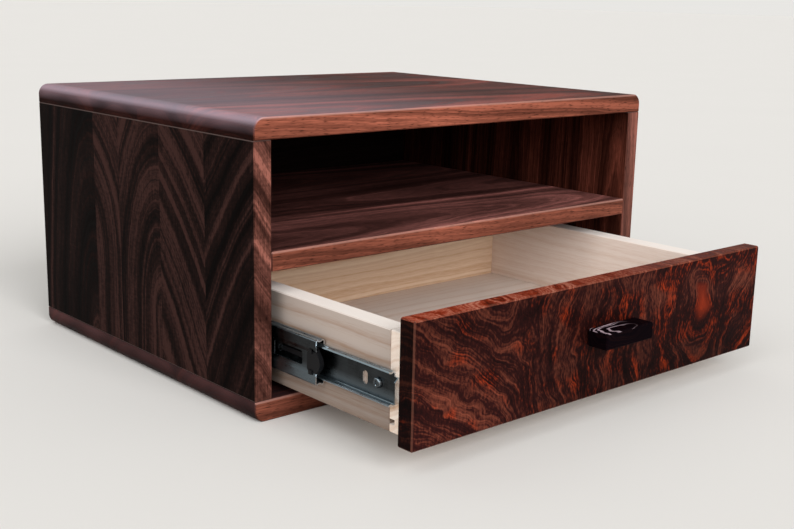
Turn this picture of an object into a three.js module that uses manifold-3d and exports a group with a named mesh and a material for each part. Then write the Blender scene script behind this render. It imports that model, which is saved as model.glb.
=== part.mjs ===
// Wall-hung nightstand: a walnut case with an open shelf above one inset drawer on
// side-mounted telescopic ball slides, shown with its drawer pulled part way out.
// Millimetres, +Z up, the front faces -Y, and the origin lies on the wall face of the hanging cleat.
import * as THREE from "three";
import { mergeVertices } from "three/addons/utils/BufferGeometryUtils.js";
import Module from "manifold-3d";

const wasm = await Module();
wasm.setup();

// Driving dimensions of the case
const caseWidth = 460;
const caseDepth = 362;
const caseHeight = 238;
const topThickness = 17;
const bottomThickness = 17;
const sideThickness = 16;
const shelfThickness = 15.5;
const backThickness = 12;
const bayHeight = 102.5;
const endRadius = 9.6;
const boardEase = 0.8;

// Joinery of the case
const shelfTongueLength = 6;
const shelfTongueThickness = 9.5;
const shelfTongueSetback = 14;
const backHousingDepth = 6;
const housingGap = 0.3;

// Hanging cleat behind the back panel, bevelled to hook over its mate on the wall
const cleatThickness = 18;
const cleatHeight = 60;
const cleatEndGap = 1.5;

// Drawer front and pull
const faceThickness = 15.4;
const faceSideGap = 4.5;
const faceBottomGap = 3.6;
const faceTopGap = 4.7;
const faceEase = 1.1;
const drawerOpening = 158;
const pullWidth = 58;
const pullHeight = 13.6;
const pullReach = 19.5;
const pullRise = 3.7;
const pullOffset = 2.5;
const pullEase = 1;

// Drawer box
const boxStock = 18;
const boxHeight = 75.6;
const boxRearGap = 8.6;
const boxFloorGap = 7.8;
const boxEase = 0.8;
const drawerBottomThickness = 4;
const drawerBottomRise = 5.9;
const drawerGrooveDepth = 6;
const drawerBottomPlay = 0.5;

// Telescopic slides: case member, ball cage, intermediate member, ball cage and drawer member
const slideThickness = 12.7;
const slideRise = 42;
const slideSetback = 27;
const slideRearGap = 5;
const caseMemberHeight = 45.5;
const caseMemberSheet = 1.2;
const midMemberSheet = 1;
const drawerMemberSheet = 1.2;
const midMemberInset = 2.5;
const bendRadius = 1.3;
const outerBallRadius = 2;
const innerBallRadius = 1.5;
const ballGap = 0.3;
const outerBallInset = 6.4;
const innerBallInset = 8.2;
const innerBallDrop = 5.05;
const raceShoulderShare = 0.7;
const webRecessDepth = 0.9;
const webRecessHalf = 10;
const webRecessSlope = 3;
const cageSheet = 0.5;
const cageGap = 0.4;
const cageLengthShare = 0.4;
const cageSetbackShare = 0.317;
const ballsInRow = 6;
const cageLipReach = 1;

// Cut-outs and fittings of the slides
const windowLength = 60;
const windowHeight = 11;
const windowSetback = 17.5;
const windowCorner = 2;
const notchLength = 11;
const notchHeight = 17;
const slotWidth = 5.4;
const slotLength = 10.5;
const slotCornerShare = 0.49;
const caseScrewShares = [0.08, 0.42, 0.92];
const caseSlotShares = [0.2, 0.6, 0.8];
const drawerScrewShares = [0.058, 0.56, 0.9];
const drawerSlotShares = [0.108, 0.82];
const flangeLead = 4;
const flangeReach = 3;
const flangeBase = -10.5;
const flangeTop = 5.5;
const bumperNose = 5.2;
const bumperShoulder = 0.5;
const bumperInset = 6.6;
const tongueLength = 15;
const tongueHeight = 20;
const clipLength = 4;
const clipHeight = 3.4;
const clipThickness = 0.6;
const clipSetback = 4;
const bufferLength = 4;
const bufferHeight = 26;
const bufferGap = 0.5;
const leverPivotShare = 0.4433;
const leverLength = 46;
const leverHeight = 8;
const leverNeck = 4;
const leverThickness = 3.2;
const leverGap = 0.8;
const leverPadLength = 12;
const leverRibs = 3;
const leverRibDepth = 0.8;
const studRadius = 2.2;
const studProud = 0.5;

// Screws
const screwRadius = 1.9;
const screwHeadRadius = 4;
const panHeadHeight = 2.6;
const panCrownShare = 0.65;
const flatHeadHeight = 2.3;
const screwTip = 3;
const slideScrewLength = 13;
const faceScrewLength = 28;
const pullScrewLength = 24;
const cleatScrewLength = 26;
const fitGap = 0.3;
const counterboreDepth = 3;
const faceScrewShares = [-0.3, 0.3];
const faceScrewRiseShares = [0.3, 0.7];
const pullScrewShare = 0.28;
const cleatScrewShares = [-0.42, -0.16, 0.16, 0.42];

// Facets
const overrun = 1;
const arcSteps = 2;
const endArcSteps = 8;
const screwSides = 10;
const ballSides = 6;
const ballRings = 4;

// Places worked out from the driving dimensions, with the case's front at y = 0 and its base at z = 0
const halfWidth = caseWidth / 2;
const bayHalf = halfWidth - sideThickness;
const shelfBase = bottomThickness + bayHeight;
const shelfTop = shelfBase + shelfThickness;
const shelfTongueBase = (shelfBase + shelfTop - shelfTongueThickness) / 2;
const shelfTongueTop = shelfTongueBase + shelfTongueThickness;
const ceiling = caseHeight - topThickness;
const backRear = caseDepth - cleatThickness;
const backFront = backRear - backThickness;
const faceFront = -drawerOpening;
const faceRear = faceFront + faceThickness;
const faceHalf = bayHalf - faceSideGap;
const faceBase = bottomThickness + faceBottomGap;
const faceTop = shelfBase - faceTopGap;
const boxHalf = bayHalf - slideThickness;
const boxInnerHalf = boxHalf - boxStock;
const boxBase = bottomThickness + boxFloorGap;
const boxTop = boxBase + boxHeight;
const boxDepth = backFront - faceThickness - boxRearGap;
const boxRear = faceRear + boxDepth;
const slideCentre = bottomThickness + slideRise;
const slideLength = backFront - slideRearGap - slideSetback;
const midOpening = drawerOpening / 2;
const caseMemberRear = slideSetback + slideLength;
const memberTrim = bufferLength + bufferGap;
const memberLength = slideLength - memberTrim;
const midMemberFront = slideSetback - midOpening;
const midMemberRear = midMemberFront + memberLength;
const drawerMemberFront = slideSetback - drawerOpening;
const drawerMemberRear = drawerMemberFront + memberLength;
const cageLength = slideLength * cageLengthShare;
const cageClosedFront = slideSetback + slideLength * cageSetbackShare;

const materials = {
  walnut: () => new THREE.MeshStandardMaterial({ color: 0x4a2a1e, roughness: 0.45, metalness: 0 }),
  figuredWalnut: () => new THREE.MeshStandardMaterial({ color: 0x5a2c1c, roughness: 0.4, metalness: 0 }),
  darkWood: () => new THREE.MeshStandardMaterial({ color: 0x1a1212, roughness: 0.5, metalness: 0 }),
  maple: () => new THREE.MeshStandardMaterial({ color: 0xd8bd98, roughness: 0.55, metalness: 0 }),
  plywood: () => new THREE.MeshStandardMaterial({ color: 0xdcc4a4, roughness: 0.6, metalness: 0 }),
  zinc: () => new THREE.MeshStandardMaterial({ color: 0x9aa0a6, roughness: 0.35, metalness: 0.9 }),
  blackPlastic: () => new THREE.MeshStandardMaterial({ color: 0x141416, roughness: 0.5, metalness: 0 }),
};

// Turns a closed geometry into a solid that can be cut and joined.
function toSolid(geometry) {
  const bare = geometry.clone();
  bare.deleteAttribute("normal");
  bare.deleteAttribute("uv");
  const merged = mergeVertices(bare);
  return new wasm.Manifold(new wasm.Mesh({
    numProp: 3,
    vertProperties: new Float32Array(merged.attributes.position.array),
    triVerts: new Uint32Array(merged.index.array),
  }));
}

function toGeometry(solid) {
  const mesh = solid.getMesh();
  const geometry = new THREE.BufferGeometry();
  geometry.setAttribute("position", new THREE.BufferAttribute(mesh.vertProperties, 3));
  geometry.setIndex(new THREE.BufferAttribute(mesh.triVerts, 1));
  geometry.computeVertexNormals();
  return geometry;
}

// Cuts each tool out of a body and returns the geometry that is left.
function cut(geometry, tools) {
  let solid = toSolid(geometry);
  for (const tool of tools) {
    solid = solid.subtract(toSolid(tool));
  }
  return toGeometry(solid);
}

function join(geometry, additions) {
  let solid = toSolid(geometry);
  for (const addition of additions) {
    solid = solid.add(toSolid(addition));
  }
  return toGeometry(solid);
}

// Extrudes an outline drawn in width and height from its front to its rear, easing both end outlines.
function extrudeDeep(shape, front, rear, ease = 0) {
  const geometry = new THREE.ExtrudeGeometry(shape, {
    depth: rear - front - ease * 2,
    bevelEnabled: ease > 0,
    bevelThickness: ease,
    bevelSize: ease,
    bevelOffset: -ease,
    bevelSegments: 1,
    curveSegments: endArcSteps,
  });
  geometry.rotateX(Math.PI / 2);
  geometry.translate(0, rear - ease, 0);
  return geometry;
}

// Extrudes an outline drawn in depth and height across the width.
function extrudeAcross(shape, left, right) {
  const geometry = new THREE.ExtrudeGeometry(shape, {
    depth: right - left,
    bevelEnabled: false,
    curveSegments: arcSteps * 2,
  });
  const turn = new THREE.Matrix4().makeBasis(
    new THREE.Vector3(0, 1, 0),
    new THREE.Vector3(0, 0, 1),
    new THREE.Vector3(1, 0, 0),
  );
  geometry.applyMatrix4(turn);
  geometry.translate(left, 0, 0);
  return geometry;
}

// A rectangle with its four corners cut off by the ease.
function easedRectangle(left, bottom, right, top, ease) {
  const shape = new THREE.Shape();
  shape.moveTo(left + ease, bottom);
  shape.lineTo(right - ease, bottom);
  shape.lineTo(right, bottom + ease);
  shape.lineTo(right, top - ease);
  shape.lineTo(right - ease, top);
  shape.lineTo(left + ease, top);
  shape.lineTo(left, top - ease);
  shape.lineTo(left, bottom + ease);
  shape.closePath();
  return shape;
}

// A board or block with all twelve edges eased.
function easedBlock(low, high, ease) {
  const outline = easedRectangle(low[0], low[2], high[0], high[2], ease);
  return extrudeDeep(outline, low[1], high[1], ease);
}

function plainBlock(low, high) {
  const size = high.map((value, axis) => value - low[axis]);
  const geometry = new THREE.BoxGeometry(...size);
  geometry.translate(low[0] + size[0] / 2, low[1] + size[1] / 2, low[2] + size[2] / 2);
  return geometry;
}

// A slot or window with round corners, drawn in depth and height.
function roundedOpening(front, bottom, rear, top, radius) {
  const shape = new THREE.Shape();
  shape.moveTo(front + radius, bottom);
  shape.lineTo(rear - radius, bottom);
  shape.absarc(rear - radius, bottom + radius, radius, -Math.PI / 2, 0);
  shape.lineTo(rear, top - radius);
  shape.absarc(rear - radius, top - radius, radius, 0, Math.PI / 2);
  shape.lineTo(front + radius, top);
  shape.absarc(front + radius, top - radius, radius, Math.PI / 2, Math.PI);
  shape.lineTo(front, bottom + radius);
  shape.absarc(front + radius, bottom + radius, radius, Math.PI, Math.PI * 1.5);
  return shape;
}

// Points the height of a geometry along a direction, with its base at a place.
function pointed(geometry, place, direction) {
  const height = new THREE.Vector3(0, 1, 0);
  geometry.applyQuaternion(new THREE.Quaternion().setFromUnitVectors(height, direction));
  geometry.translate(place.x, place.y, place.z);
  return geometry;
}

// A round bar or bore along a direction, starting at a point.
function roundBar(start, direction, radius, length) {
  const geometry = new THREE.CylinderGeometry(radius, radius, length, screwSides);
  geometry.translate(0, length / 2, 0);
  return pointed(geometry, start, direction);
}

// A cone that sinks a flat screw head, with its wide end on the surface.
function countersink(surface, inward) {
  const profile = [
    new THREE.Vector2(0, -overrun),
    new THREE.Vector2(screwHeadRadius + fitGap, -overrun),
    new THREE.Vector2(screwHeadRadius + fitGap, fitGap),
    new THREE.Vector2(screwRadius + fitGap, flatHeadHeight + fitGap),
    new THREE.Vector2(0, flatHeadHeight + fitGap),
  ];
  return turned(profile, surface, inward);
}

// Revolves a profile of radius and height, then points its height along a direction.
function turned(profile, place, direction) {
  return pointed(new THREE.LatheGeometry(profile, screwSides), place, direction);
}

// A pan-head screw whose head sits on the surface and whose shank runs inward.
function panScrew(surface, inward, length) {
  const profile = [
    new THREE.Vector2(0, -panHeadHeight),
    new THREE.Vector2(screwHeadRadius * panCrownShare, -panHeadHeight),
    new THREE.Vector2(screwHeadRadius, -panHeadHeight / 2),
    new THREE.Vector2(screwHeadRadius, 0),
    new THREE.Vector2(screwRadius, 0),
    new THREE.Vector2(screwRadius, length - screwTip),
    new THREE.Vector2(0, length),
  ];
  return turned(profile, surface, inward);
}

// A flat-head screw, flush with the surface.
function flatScrew(surface, inward, length) {
  const profile = [
    new THREE.Vector2(0, 0),
    new THREE.Vector2(screwHeadRadius, 0),
    new THREE.Vector2(screwRadius, flatHeadHeight),
    new THREE.Vector2(screwRadius, length - screwTip),
    new THREE.Vector2(0, length),
  ];
  return turned(profile, surface, inward);
}

const nightstand = new THREE.Group();
const assembly = new THREE.Group();
assembly.position.set(0, -caseDepth, -(ceiling - cleatHeight / 2));
nightstand.add(assembly);

function addPiece(name, geometry, material) {
  const mesh = new THREE.Mesh(geometry, material());
  mesh.name = name;
  assembly.add(mesh);
}

// Top and bottom panels: their two outer ends are rounded on the outside face only.
function capOutline(inner, outer) {
  const rise = Math.sign(outer - inner);
  const arcCentre = outer - endRadius * rise;
  const shape = new THREE.Shape();
  shape.moveTo(-halfWidth, inner);
  shape.lineTo(halfWidth, inner);
  shape.lineTo(halfWidth, arcCentre);
  shape.absarc(halfWidth - endRadius, arcCentre, endRadius, 0, Math.PI / 2 * rise, rise < 0);
  shape.lineTo(-halfWidth + endRadius, outer);
  shape.absarc(-halfWidth + endRadius, arcCentre, endRadius, Math.PI / 2 * rise, Math.PI * rise, rise < 0);
  shape.closePath();
  return shape;
}

// The housing that holds an edge of the back panel.
function backHousing(low, high) {
  return plainBlock(
    [low[0], backFront, low[1]],
    [high[0], backRear + housingGap, high[1]],
  );
}

function addCaps() {
  const reach = bayHalf + backHousingDepth;
  const top = cut(extrudeDeep(capOutline(ceiling, caseHeight), 0, caseDepth, boardEase), [
    backHousing([-reach, ceiling - overrun], [reach, ceiling + backHousingDepth]),
  ]);
  addPiece("top_panel", top, materials.walnut);
  const bottom = cut(extrudeDeep(capOutline(bottomThickness, 0), 0, caseDepth, boardEase), [
    backHousing([-reach, bottomThickness - backHousingDepth], [reach, bottomThickness + overrun]),
  ]);
  addPiece("bottom_panel", bottom, materials.walnut);
}

function slidePlace(side, inset, depth, height) {
  return new THREE.Vector3(side * (bayHalf - inset), depth, slideCentre + height);
}

function towardDrawer(side) {
  return new THREE.Vector3(-side, 0, 0);
}

function caseScrewDepths() {
  return caseScrewShares.map((share) => slideSetback + slideLength * share);
}

// Side panel: housed for the shelf and the back, and bored for the slide's screws.
function addSide(side, name) {
  const inner = side * bayHalf;
  const outer = side * halfWidth;
  const floorOfShelfHousing = side * (bayHalf + shelfTongueLength);
  const floorOfBackHousing = side * (bayHalf + backHousingDepth);
  const clear = side * (bayHalf - overrun);
  const span = (a, b) => [Math.min(a, b), Math.max(a, b)];
  const board = span(inner, outer);
  const shelfCut = span(clear, floorOfShelfHousing);
  const backCut = span(clear, floorOfBackHousing);
  const cuts = [
    plainBlock(
      [shelfCut[0], shelfTongueSetback, shelfTongueBase],
      [shelfCut[1], backFront + overrun, shelfTongueTop + housingGap],
    ),
    backHousing([backCut[0], bottomThickness - overrun], [backCut[1], ceiling + overrun]),
  ];
  for (const depth of caseScrewDepths()) {
    const surface = slidePlace(side, caseMemberSheet, depth, 0);
    const outward = new THREE.Vector3(side, 0, 0);
    cuts.push(roundBar(surface, outward, screwRadius + fitGap, slideScrewLength + fitGap));
    cuts.push(countersink(surface, outward));
  }
  const blank = easedBlock([board[0], 0, bottomThickness], [board[1], caseDepth, ceiling], boardEase);
  addPiece(name, cut(blank, cuts), materials.walnut);
}

// Shelf: a tongue along each end stands in a stopped housing, with a shoulder above and below it.
function addShelf() {
  const board = easedBlock([-bayHalf, 0, shelfBase], [bayHalf, backFront, shelfTop], boardEase);
  const reach = bayHalf + shelfTongueLength - housingGap;
  const tongues = plainBlock(
    [-reach, shelfTongueSetback + housingGap, shelfTongueBase],
    [reach, backFront - boardEase, shelfTongueTop],
  );
  addPiece("middle_shelf", join(board, [tongues]), materials.walnut);
}

function addBack() {
  const reach = bayHalf + backHousingDepth - housingGap;
  const low = bottomThickness - backHousingDepth + housingGap;
  const high = ceiling + backHousingDepth - housingGap;
  const panel = plainBlock([-reach, backFront, low], [reach, backRear, high]);
  addPiece("back_panel", cut(panel, cleatScrewBores()), materials.walnut);
}

function cleatScrewPlaces() {
  const height = ceiling - cleatHeight / 2;
  return cleatScrewShares.map((share) => new THREE.Vector3(bayHalf * 2 * share, caseDepth, height));
}

function cleatScrewBores() {
  const forward = new THREE.Vector3(0, -1, 0);
  return cleatScrewPlaces().map(
    (place) => roundBar(place, forward, screwRadius + fitGap, cleatScrewLength + fitGap),
  );
}

// Cleat: its lower edge is cut at 45 degrees and undercut, to hook over the wall's strip.
function addCleat() {
  const reach = bayHalf - cleatEndGap;
  const shape = new THREE.Shape();
  shape.moveTo(backRear, ceiling - cleatHeight + cleatThickness);
  shape.lineTo(caseDepth, ceiling - cleatHeight);
  shape.lineTo(caseDepth, ceiling);
  shape.lineTo(backRear, ceiling);
  shape.closePath();
  const forward = new THREE.Vector3(0, -1, 0);
  const sinks = cleatScrewPlaces().map((place) => countersink(place, forward));
  const cleat = cut(extrudeAcross(shape, -reach, reach), [...cleatScrewBores(), ...sinks]);
  addPiece("hanging_cleat", cleat, materials.walnut);
  cleatScrewPlaces().forEach((place, index) => {
    addPiece(`cleat_screw_${index + 1}`, flatScrew(place, forward, cleatScrewLength), materials.zinc);
  });
}

// Draws a bent sheet in section: a centre line of straight runs and bends, thickened to both sides.
function sheetOutline(path, sheet, side) {
  const points = path.getPoints(arcSteps);
  const near = [];
  const far = [];
  points.forEach((point, index) => {
    const before = points[Math.max(index - 1, 0)];
    const after = points[Math.min(index + 1, points.length - 1)];
    const along = after.clone().sub(before).normalize();
    const across = new THREE.Vector2(-along.y, along.x).multiplyScalar(sheet / 2);
    near.push(point.clone().add(across));
    far.push(point.clone().sub(across));
  });
  const outline = [...near, ...far.reverse()];
  return new THREE.Shape(outline.map(
    (point) => new THREE.Vector2(side * (bayHalf - point.x), slideCentre + point.y),
  ));
}

// Heights of the two ball races above the slide's centre, and the bends that hold them
const caseFlange = (caseMemberHeight - caseMemberSheet) / 2;
const outerRaceRadius = outerBallRadius + ballGap + caseMemberSheet / 2;
const outerBallHeight = caseFlange - outerRaceRadius;
const midRaceRadius = outerBallRadius + ballGap + midMemberSheet / 2;
const midShoulder = outerBallHeight - midRaceRadius * raceShoulderShare;
const midShoulderHalf = midRaceRadius * Math.sqrt(1 - raceShoulderShare ** 2);
const innerBallHeight = outerBallHeight - innerBallDrop;
const midLipRadius = innerBallRadius + ballGap + midMemberSheet / 2;
const drawerRaceRadius = innerBallRadius + ballGap + drawerMemberSheet / 2;
const drawerShoulder = innerBallHeight - drawerRaceRadius * raceShoulderShare;
const drawerShoulderHalf = drawerRaceRadius * Math.sqrt(1 - raceShoulderShare ** 2);
const midWebInset = midMemberInset + midMemberSheet / 2;
const midLipInset = innerBallInset + midLipRadius;
const outerCageInset = caseMemberSheet + cageGap + cageSheet / 2;
const innerCageInset = midMemberInset + midMemberSheet + webRecessDepth + cageGap + cageSheet / 2;

// Mirrors the upper half of a centre line below the slide's centre and joins the two halves.
function mirroredPath(upper) {
  const points = upper.getPoints(arcSteps);
  const lower = points.map((point) => new THREE.Vector2(point.x, -point.y));
  return { getPoints: () => [...lower.reverse(), ...points] };
}

// Case member: a wide channel whose flanges curl over the outer balls.
function caseMemberPath() {
  const path = new THREE.Path();
  const web = caseMemberSheet / 2;
  path.moveTo(web, bendRadius);
  path.lineTo(web, caseFlange - bendRadius);
  path.absarc(web + bendRadius, caseFlange - bendRadius, bendRadius, Math.PI, Math.PI / 2, true);
  path.lineTo(outerBallInset, caseFlange);
  path.absarc(outerBallInset, outerBallHeight, outerRaceRadius, Math.PI / 2, -Math.PI / 9, true);
  return mirroredPath(path);
}

// Intermediate member: a web with a shallow channel along it, and on each side a groove outside for the
// outer balls and a lip inside for the inner ones.
function midMemberPath() {
  const path = new THREE.Path();
  const shoulderAngle = Math.asin(raceShoulderShare);
  path.moveTo(midWebInset + webRecessDepth, bendRadius);
  path.lineTo(midWebInset + webRecessDepth, webRecessHalf - webRecessSlope);
  path.lineTo(midWebInset, webRecessHalf);
  path.lineTo(midWebInset, midShoulder - bendRadius);
  path.absarc(midWebInset + bendRadius, midShoulder - bendRadius, bendRadius, Math.PI, Math.PI / 2, true);
  path.lineTo(outerBallInset - midShoulderHalf, midShoulder);
  path.absarc(
    outerBallInset, outerBallHeight, midRaceRadius, Math.PI + shoulderAngle, Math.PI * 2 - shoulderAngle,
  );
  path.lineTo(midLipInset - bendRadius, midShoulder);
  path.absarc(midLipInset - bendRadius, midShoulder - bendRadius, bendRadius, Math.PI / 2, 0, true);
  path.lineTo(midLipInset, innerBallHeight);
  path.absarc(innerBallInset, innerBallHeight, midLipRadius, 0, -Math.PI / 12, true);
  return mirroredPath(path);
}

// Drawer member: a narrow channel, open towards the case, with a groove along each flange.
function drawerMemberPath() {
  const path = new THREE.Path();
  const web = slideThickness - drawerMemberSheet / 2;
  const shoulderAngle = Math.asin(raceShoulderShare);
  path.moveTo(web, bendRadius);
  path.lineTo(web, drawerShoulder - bendRadius);
  path.absarc(web - bendRadius, drawerShoulder - bendRadius, bendRadius, 0, Math.PI / 2);
  path.lineTo(innerBallInset + drawerShoulderHalf, drawerShoulder);
  const raceStart = Math.PI * 2 - shoulderAngle;
  path.absarc(innerBallInset, innerBallHeight, drawerRaceRadius, raceStart, Math.PI + shoulderAngle, true);
  return mirroredPath(path);
}

// Ball cage: a thin channel whose flanges reach through the ball centres.
function cagePath(webInset, ballInset, ballHeight) {
  const path = new THREE.Path();
  path.moveTo(webInset, bendRadius);
  path.lineTo(webInset, ballHeight - bendRadius);
  path.absarc(webInset + bendRadius, ballHeight - bendRadius, bendRadius, Math.PI, Math.PI / 2, true);
  path.lineTo(ballInset + cageLipReach, ballHeight);
  return mirroredPath(path);
}

// A block beside the case's side panel, by its inset from the panel, its depth and its height
// above the slide's centre.
function sideBlock(side, inset, depth, height) {
  const across = inset.map((value) => side * (bayHalf - value));
  return plainBlock(
    [Math.min(...across), depth[0], slideCentre + Math.min(...height)],
    [Math.max(...across), depth[1], slideCentre + Math.max(...height)],
  );
}

// A through slot across a web, from one sheet face to the other.
function webCut(shape, side, inset, sheet) {
  const edges = [side * (bayHalf - inset + overrun / 2), side * (bayHalf - inset - sheet - overrun / 2)];
  return extrudeAcross(shape, Math.min(...edges), Math.max(...edges));
}

function slotShape(depth, width, height) {
  return roundedOpening(
    depth - width / 2, slideCentre - height / 2, depth + width / 2, slideCentre + height / 2,
    Math.min(width, height) * slotCornerShare,
  );
}

function addCaseMember(side, label) {
  const outward = new THREE.Vector3(side, 0, 0);
  const section = sheetOutline(caseMemberPath(), caseMemberSheet, side);
  const channel = extrudeDeep(section, slideSetback, caseMemberRear);
  const cuts = caseSlotShares.map((share) => webCut(
    slotShape(slideSetback + slideLength * share, slotLength, slotWidth), side, 0, caseMemberSheet,
  ));
  caseScrewDepths().forEach((depth, index) => {
    const surface = slidePlace(side, caseMemberSheet, depth, 0);
    cuts.push(countersink(surface, outward));
    const screw = flatScrew(surface, outward, slideScrewLength);
    addPiece(`${label}_case_member_screw_${index + 1}`, screw, materials.zinc);
  });
  addPiece(`${label}_case_member`, cut(channel, cuts), materials.zinc);
}

// Rear buffer: a plastic block that stops the moving members as the drawer shuts.
function addRearBuffer(side, label) {
  const inset = [caseMemberSheet, outerBallInset + outerBallRadius];
  const edges = inset.map((value) => side * (bayHalf - value));
  const block = easedBlock(
    [Math.min(...edges), caseMemberRear - bufferLength, slideCentre - bufferHeight / 2],
    [Math.max(...edges), caseMemberRear, slideCentre + bufferHeight / 2],
    boardEase,
  );
  addPiece(`${label}_rear_buffer`, block, materials.blackPlastic);
}

// Balls stand in two rows, above and below, held by their cage.
function addCage(side, label, spec) {
  const front = cageClosedFront - drawerOpening * spec.speedShare;
  const strip = extrudeDeep(
    sheetOutline(cagePath(spec.webInset, spec.ballInset, spec.ballHeight), cageSheet, side),
    front, front + cageLength,
  );
  const balls = [];
  for (let index = 0; index < ballsInRow; index += 1) {
    const depth = front + cageLength * (index + 0.5) / ballsInRow;
    for (const row of [1, -1]) {
      const ball = new THREE.SphereGeometry(spec.ballRadius, ballSides, ballRings);
      const place = slidePlace(side, spec.ballInset, depth, spec.ballHeight * row);
      ball.translate(place.x, place.y, place.z);
      balls.push(ball);
    }
  }
  addPiece(`${label}_${spec.name}`, join(strip, balls), materials.zinc);
}

function addMidMember(side, label) {
  const section = sheetOutline(midMemberPath(), midMemberSheet, side);
  const channel = extrudeDeep(section, midMemberFront, midMemberRear);
  const webDepth = midMemberSheet + webRecessDepth;
  const half = windowHeight / 2;
  const windows = [midMemberFront + windowSetback, midMemberRear - windowSetback - windowLength];
  const cuts = windows.map((start) => webCut(
    roundedOpening(start, slideCentre - half, start + windowLength, slideCentre + half, windowCorner),
    side, midMemberInset, webDepth,
  ));
  cuts.push(webCut(
    roundedOpening(
      midMemberFront - notchLength, slideCentre - notchHeight / 2,
      midMemberFront + notchLength, slideCentre + notchHeight / 2, windowCorner,
    ),
    side, midMemberInset, webDepth,
  ));
  addPiece(`${label}_intermediate_member`, cut(channel, cuts), materials.zinc);
}

// Front bumper: fills the notch in the web with a round nose ahead of it, and is held by a tongue
// behind the web and two clips on its outer face.
function addBumper(side, label) {
  const half = notchHeight / 2 - fitGap;
  const rear = midMemberFront + notchLength - fitGap;
  const shoulder = midMemberFront - bumperShoulder;
  const body = new THREE.Shape();
  body.moveTo(rear - windowCorner, slideCentre - half);
  body.lineTo(rear, slideCentre - half + windowCorner);
  body.lineTo(rear, slideCentre + half - windowCorner);
  body.lineTo(rear - windowCorner, slideCentre + half);
  body.lineTo(shoulder, slideCentre + half);
  const noseControl = shoulder - (bumperNose - bumperShoulder) * 2;
  body.quadraticCurveTo(noseControl, slideCentre, shoulder, slideCentre - half);
  body.closePath();
  const webBack = midMemberInset + midMemberSheet + webRecessDepth;
  const clipOuter = midMemberInset - fitGap - clipThickness;
  const tongue = sideBlock(
    side, [webBack + fitGap, bumperInset],
    [midMemberFront, midMemberFront + tongueLength], [-tongueHeight / 2, tongueHeight / 2],
  );
  const additions = [tongue];
  const clipSpan = [midMemberFront + clipSetback, midMemberFront + clipSetback + clipLength];
  const clipRoot = half - clipHeight / 2;
  for (const row of [1, -1]) {
    const stem = [row * clipRoot, row * half];
    const hook = [row * clipRoot, row * (half + clipHeight / 2)];
    additions.push(sideBlock(side, [clipOuter, webBack], clipSpan, stem));
    additions.push(sideBlock(side, [clipOuter, clipOuter + clipThickness], clipSpan, hook));
  }
  const edges = [midMemberInset, bumperInset].map((value) => side * (bayHalf - value));
  const nose = extrudeAcross(body, Math.min(...edges), Math.max(...edges));
  addPiece(`${label}_front_bumper`, join(nose, additions), materials.blackPlastic);
}

function drawerScrewDepths() {
  return drawerScrewShares.map((share) => drawerMemberFront + memberLength * share);
}

function leverPivot(side) {
  const depth = drawerMemberFront + memberLength * leverPivotShare;
  return slidePlace(side, slideThickness - drawerMemberSheet, depth, 0);
}

// End flange of the drawer member: its web runs on ahead of the races and turns out towards the case.
function endFlange(side) {
  const web = slideThickness - drawerMemberSheet;
  const front = drawerMemberFront - flangeLead;
  const root = flangeTop + flangeReach;
  const plate = sideBlock(
    side, [web, slideThickness], [front, drawerMemberFront + overrun], [flangeBase, root],
  );
  const outline = [
    [slideThickness, flangeBase], [web - flangeReach, flangeBase], [web - flangeReach, flangeTop],
    [web, root], [slideThickness, root],
  ];
  const shape = new THREE.Shape(outline.map(
    ([inset, height]) => new THREE.Vector2(side * (bayHalf - inset), slideCentre + height),
  ));
  return [plate, extrudeDeep(shape, front, front + drawerMemberSheet)];
}

function addDrawerMember(side, label) {
  const towardCase = new THREE.Vector3(side, 0, 0);
  const away = towardDrawer(side);
  const web = slideThickness - drawerMemberSheet;
  const channel = extrudeDeep(
    sheetOutline(drawerMemberPath(), drawerMemberSheet, side), drawerMemberFront, drawerMemberRear,
  );
  const studRoot = drawerMemberSheet / 2;
  const stud = roundBar(
    leverPivot(side).addScaledVector(away, studRoot), towardCase,
    studRadius, studRoot + leverGap + leverThickness + studProud,
  );
  const cuts = drawerSlotShares.map((share) => {
    const slot = slotShape(drawerMemberFront + memberLength * share, slotWidth, slotLength);
    return webCut(slot, side, web, drawerMemberSheet);
  });
  drawerScrewDepths().forEach((depth, index) => {
    const surface = slidePlace(side, web - fitGap, depth, 0);
    cuts.push(roundBar(surface, away, screwRadius + fitGap, slideScrewLength));
    const screw = panScrew(surface, away, slideScrewLength);
    addPiece(`${label}_drawer_member_screw_${index + 1}`, screw, materials.zinc);
  });
  const member = cut(join(channel, [stud, ...endFlange(side)]), cuts);
  addPiece(`${label}_drawer_member`, member, materials.zinc);
}

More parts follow.
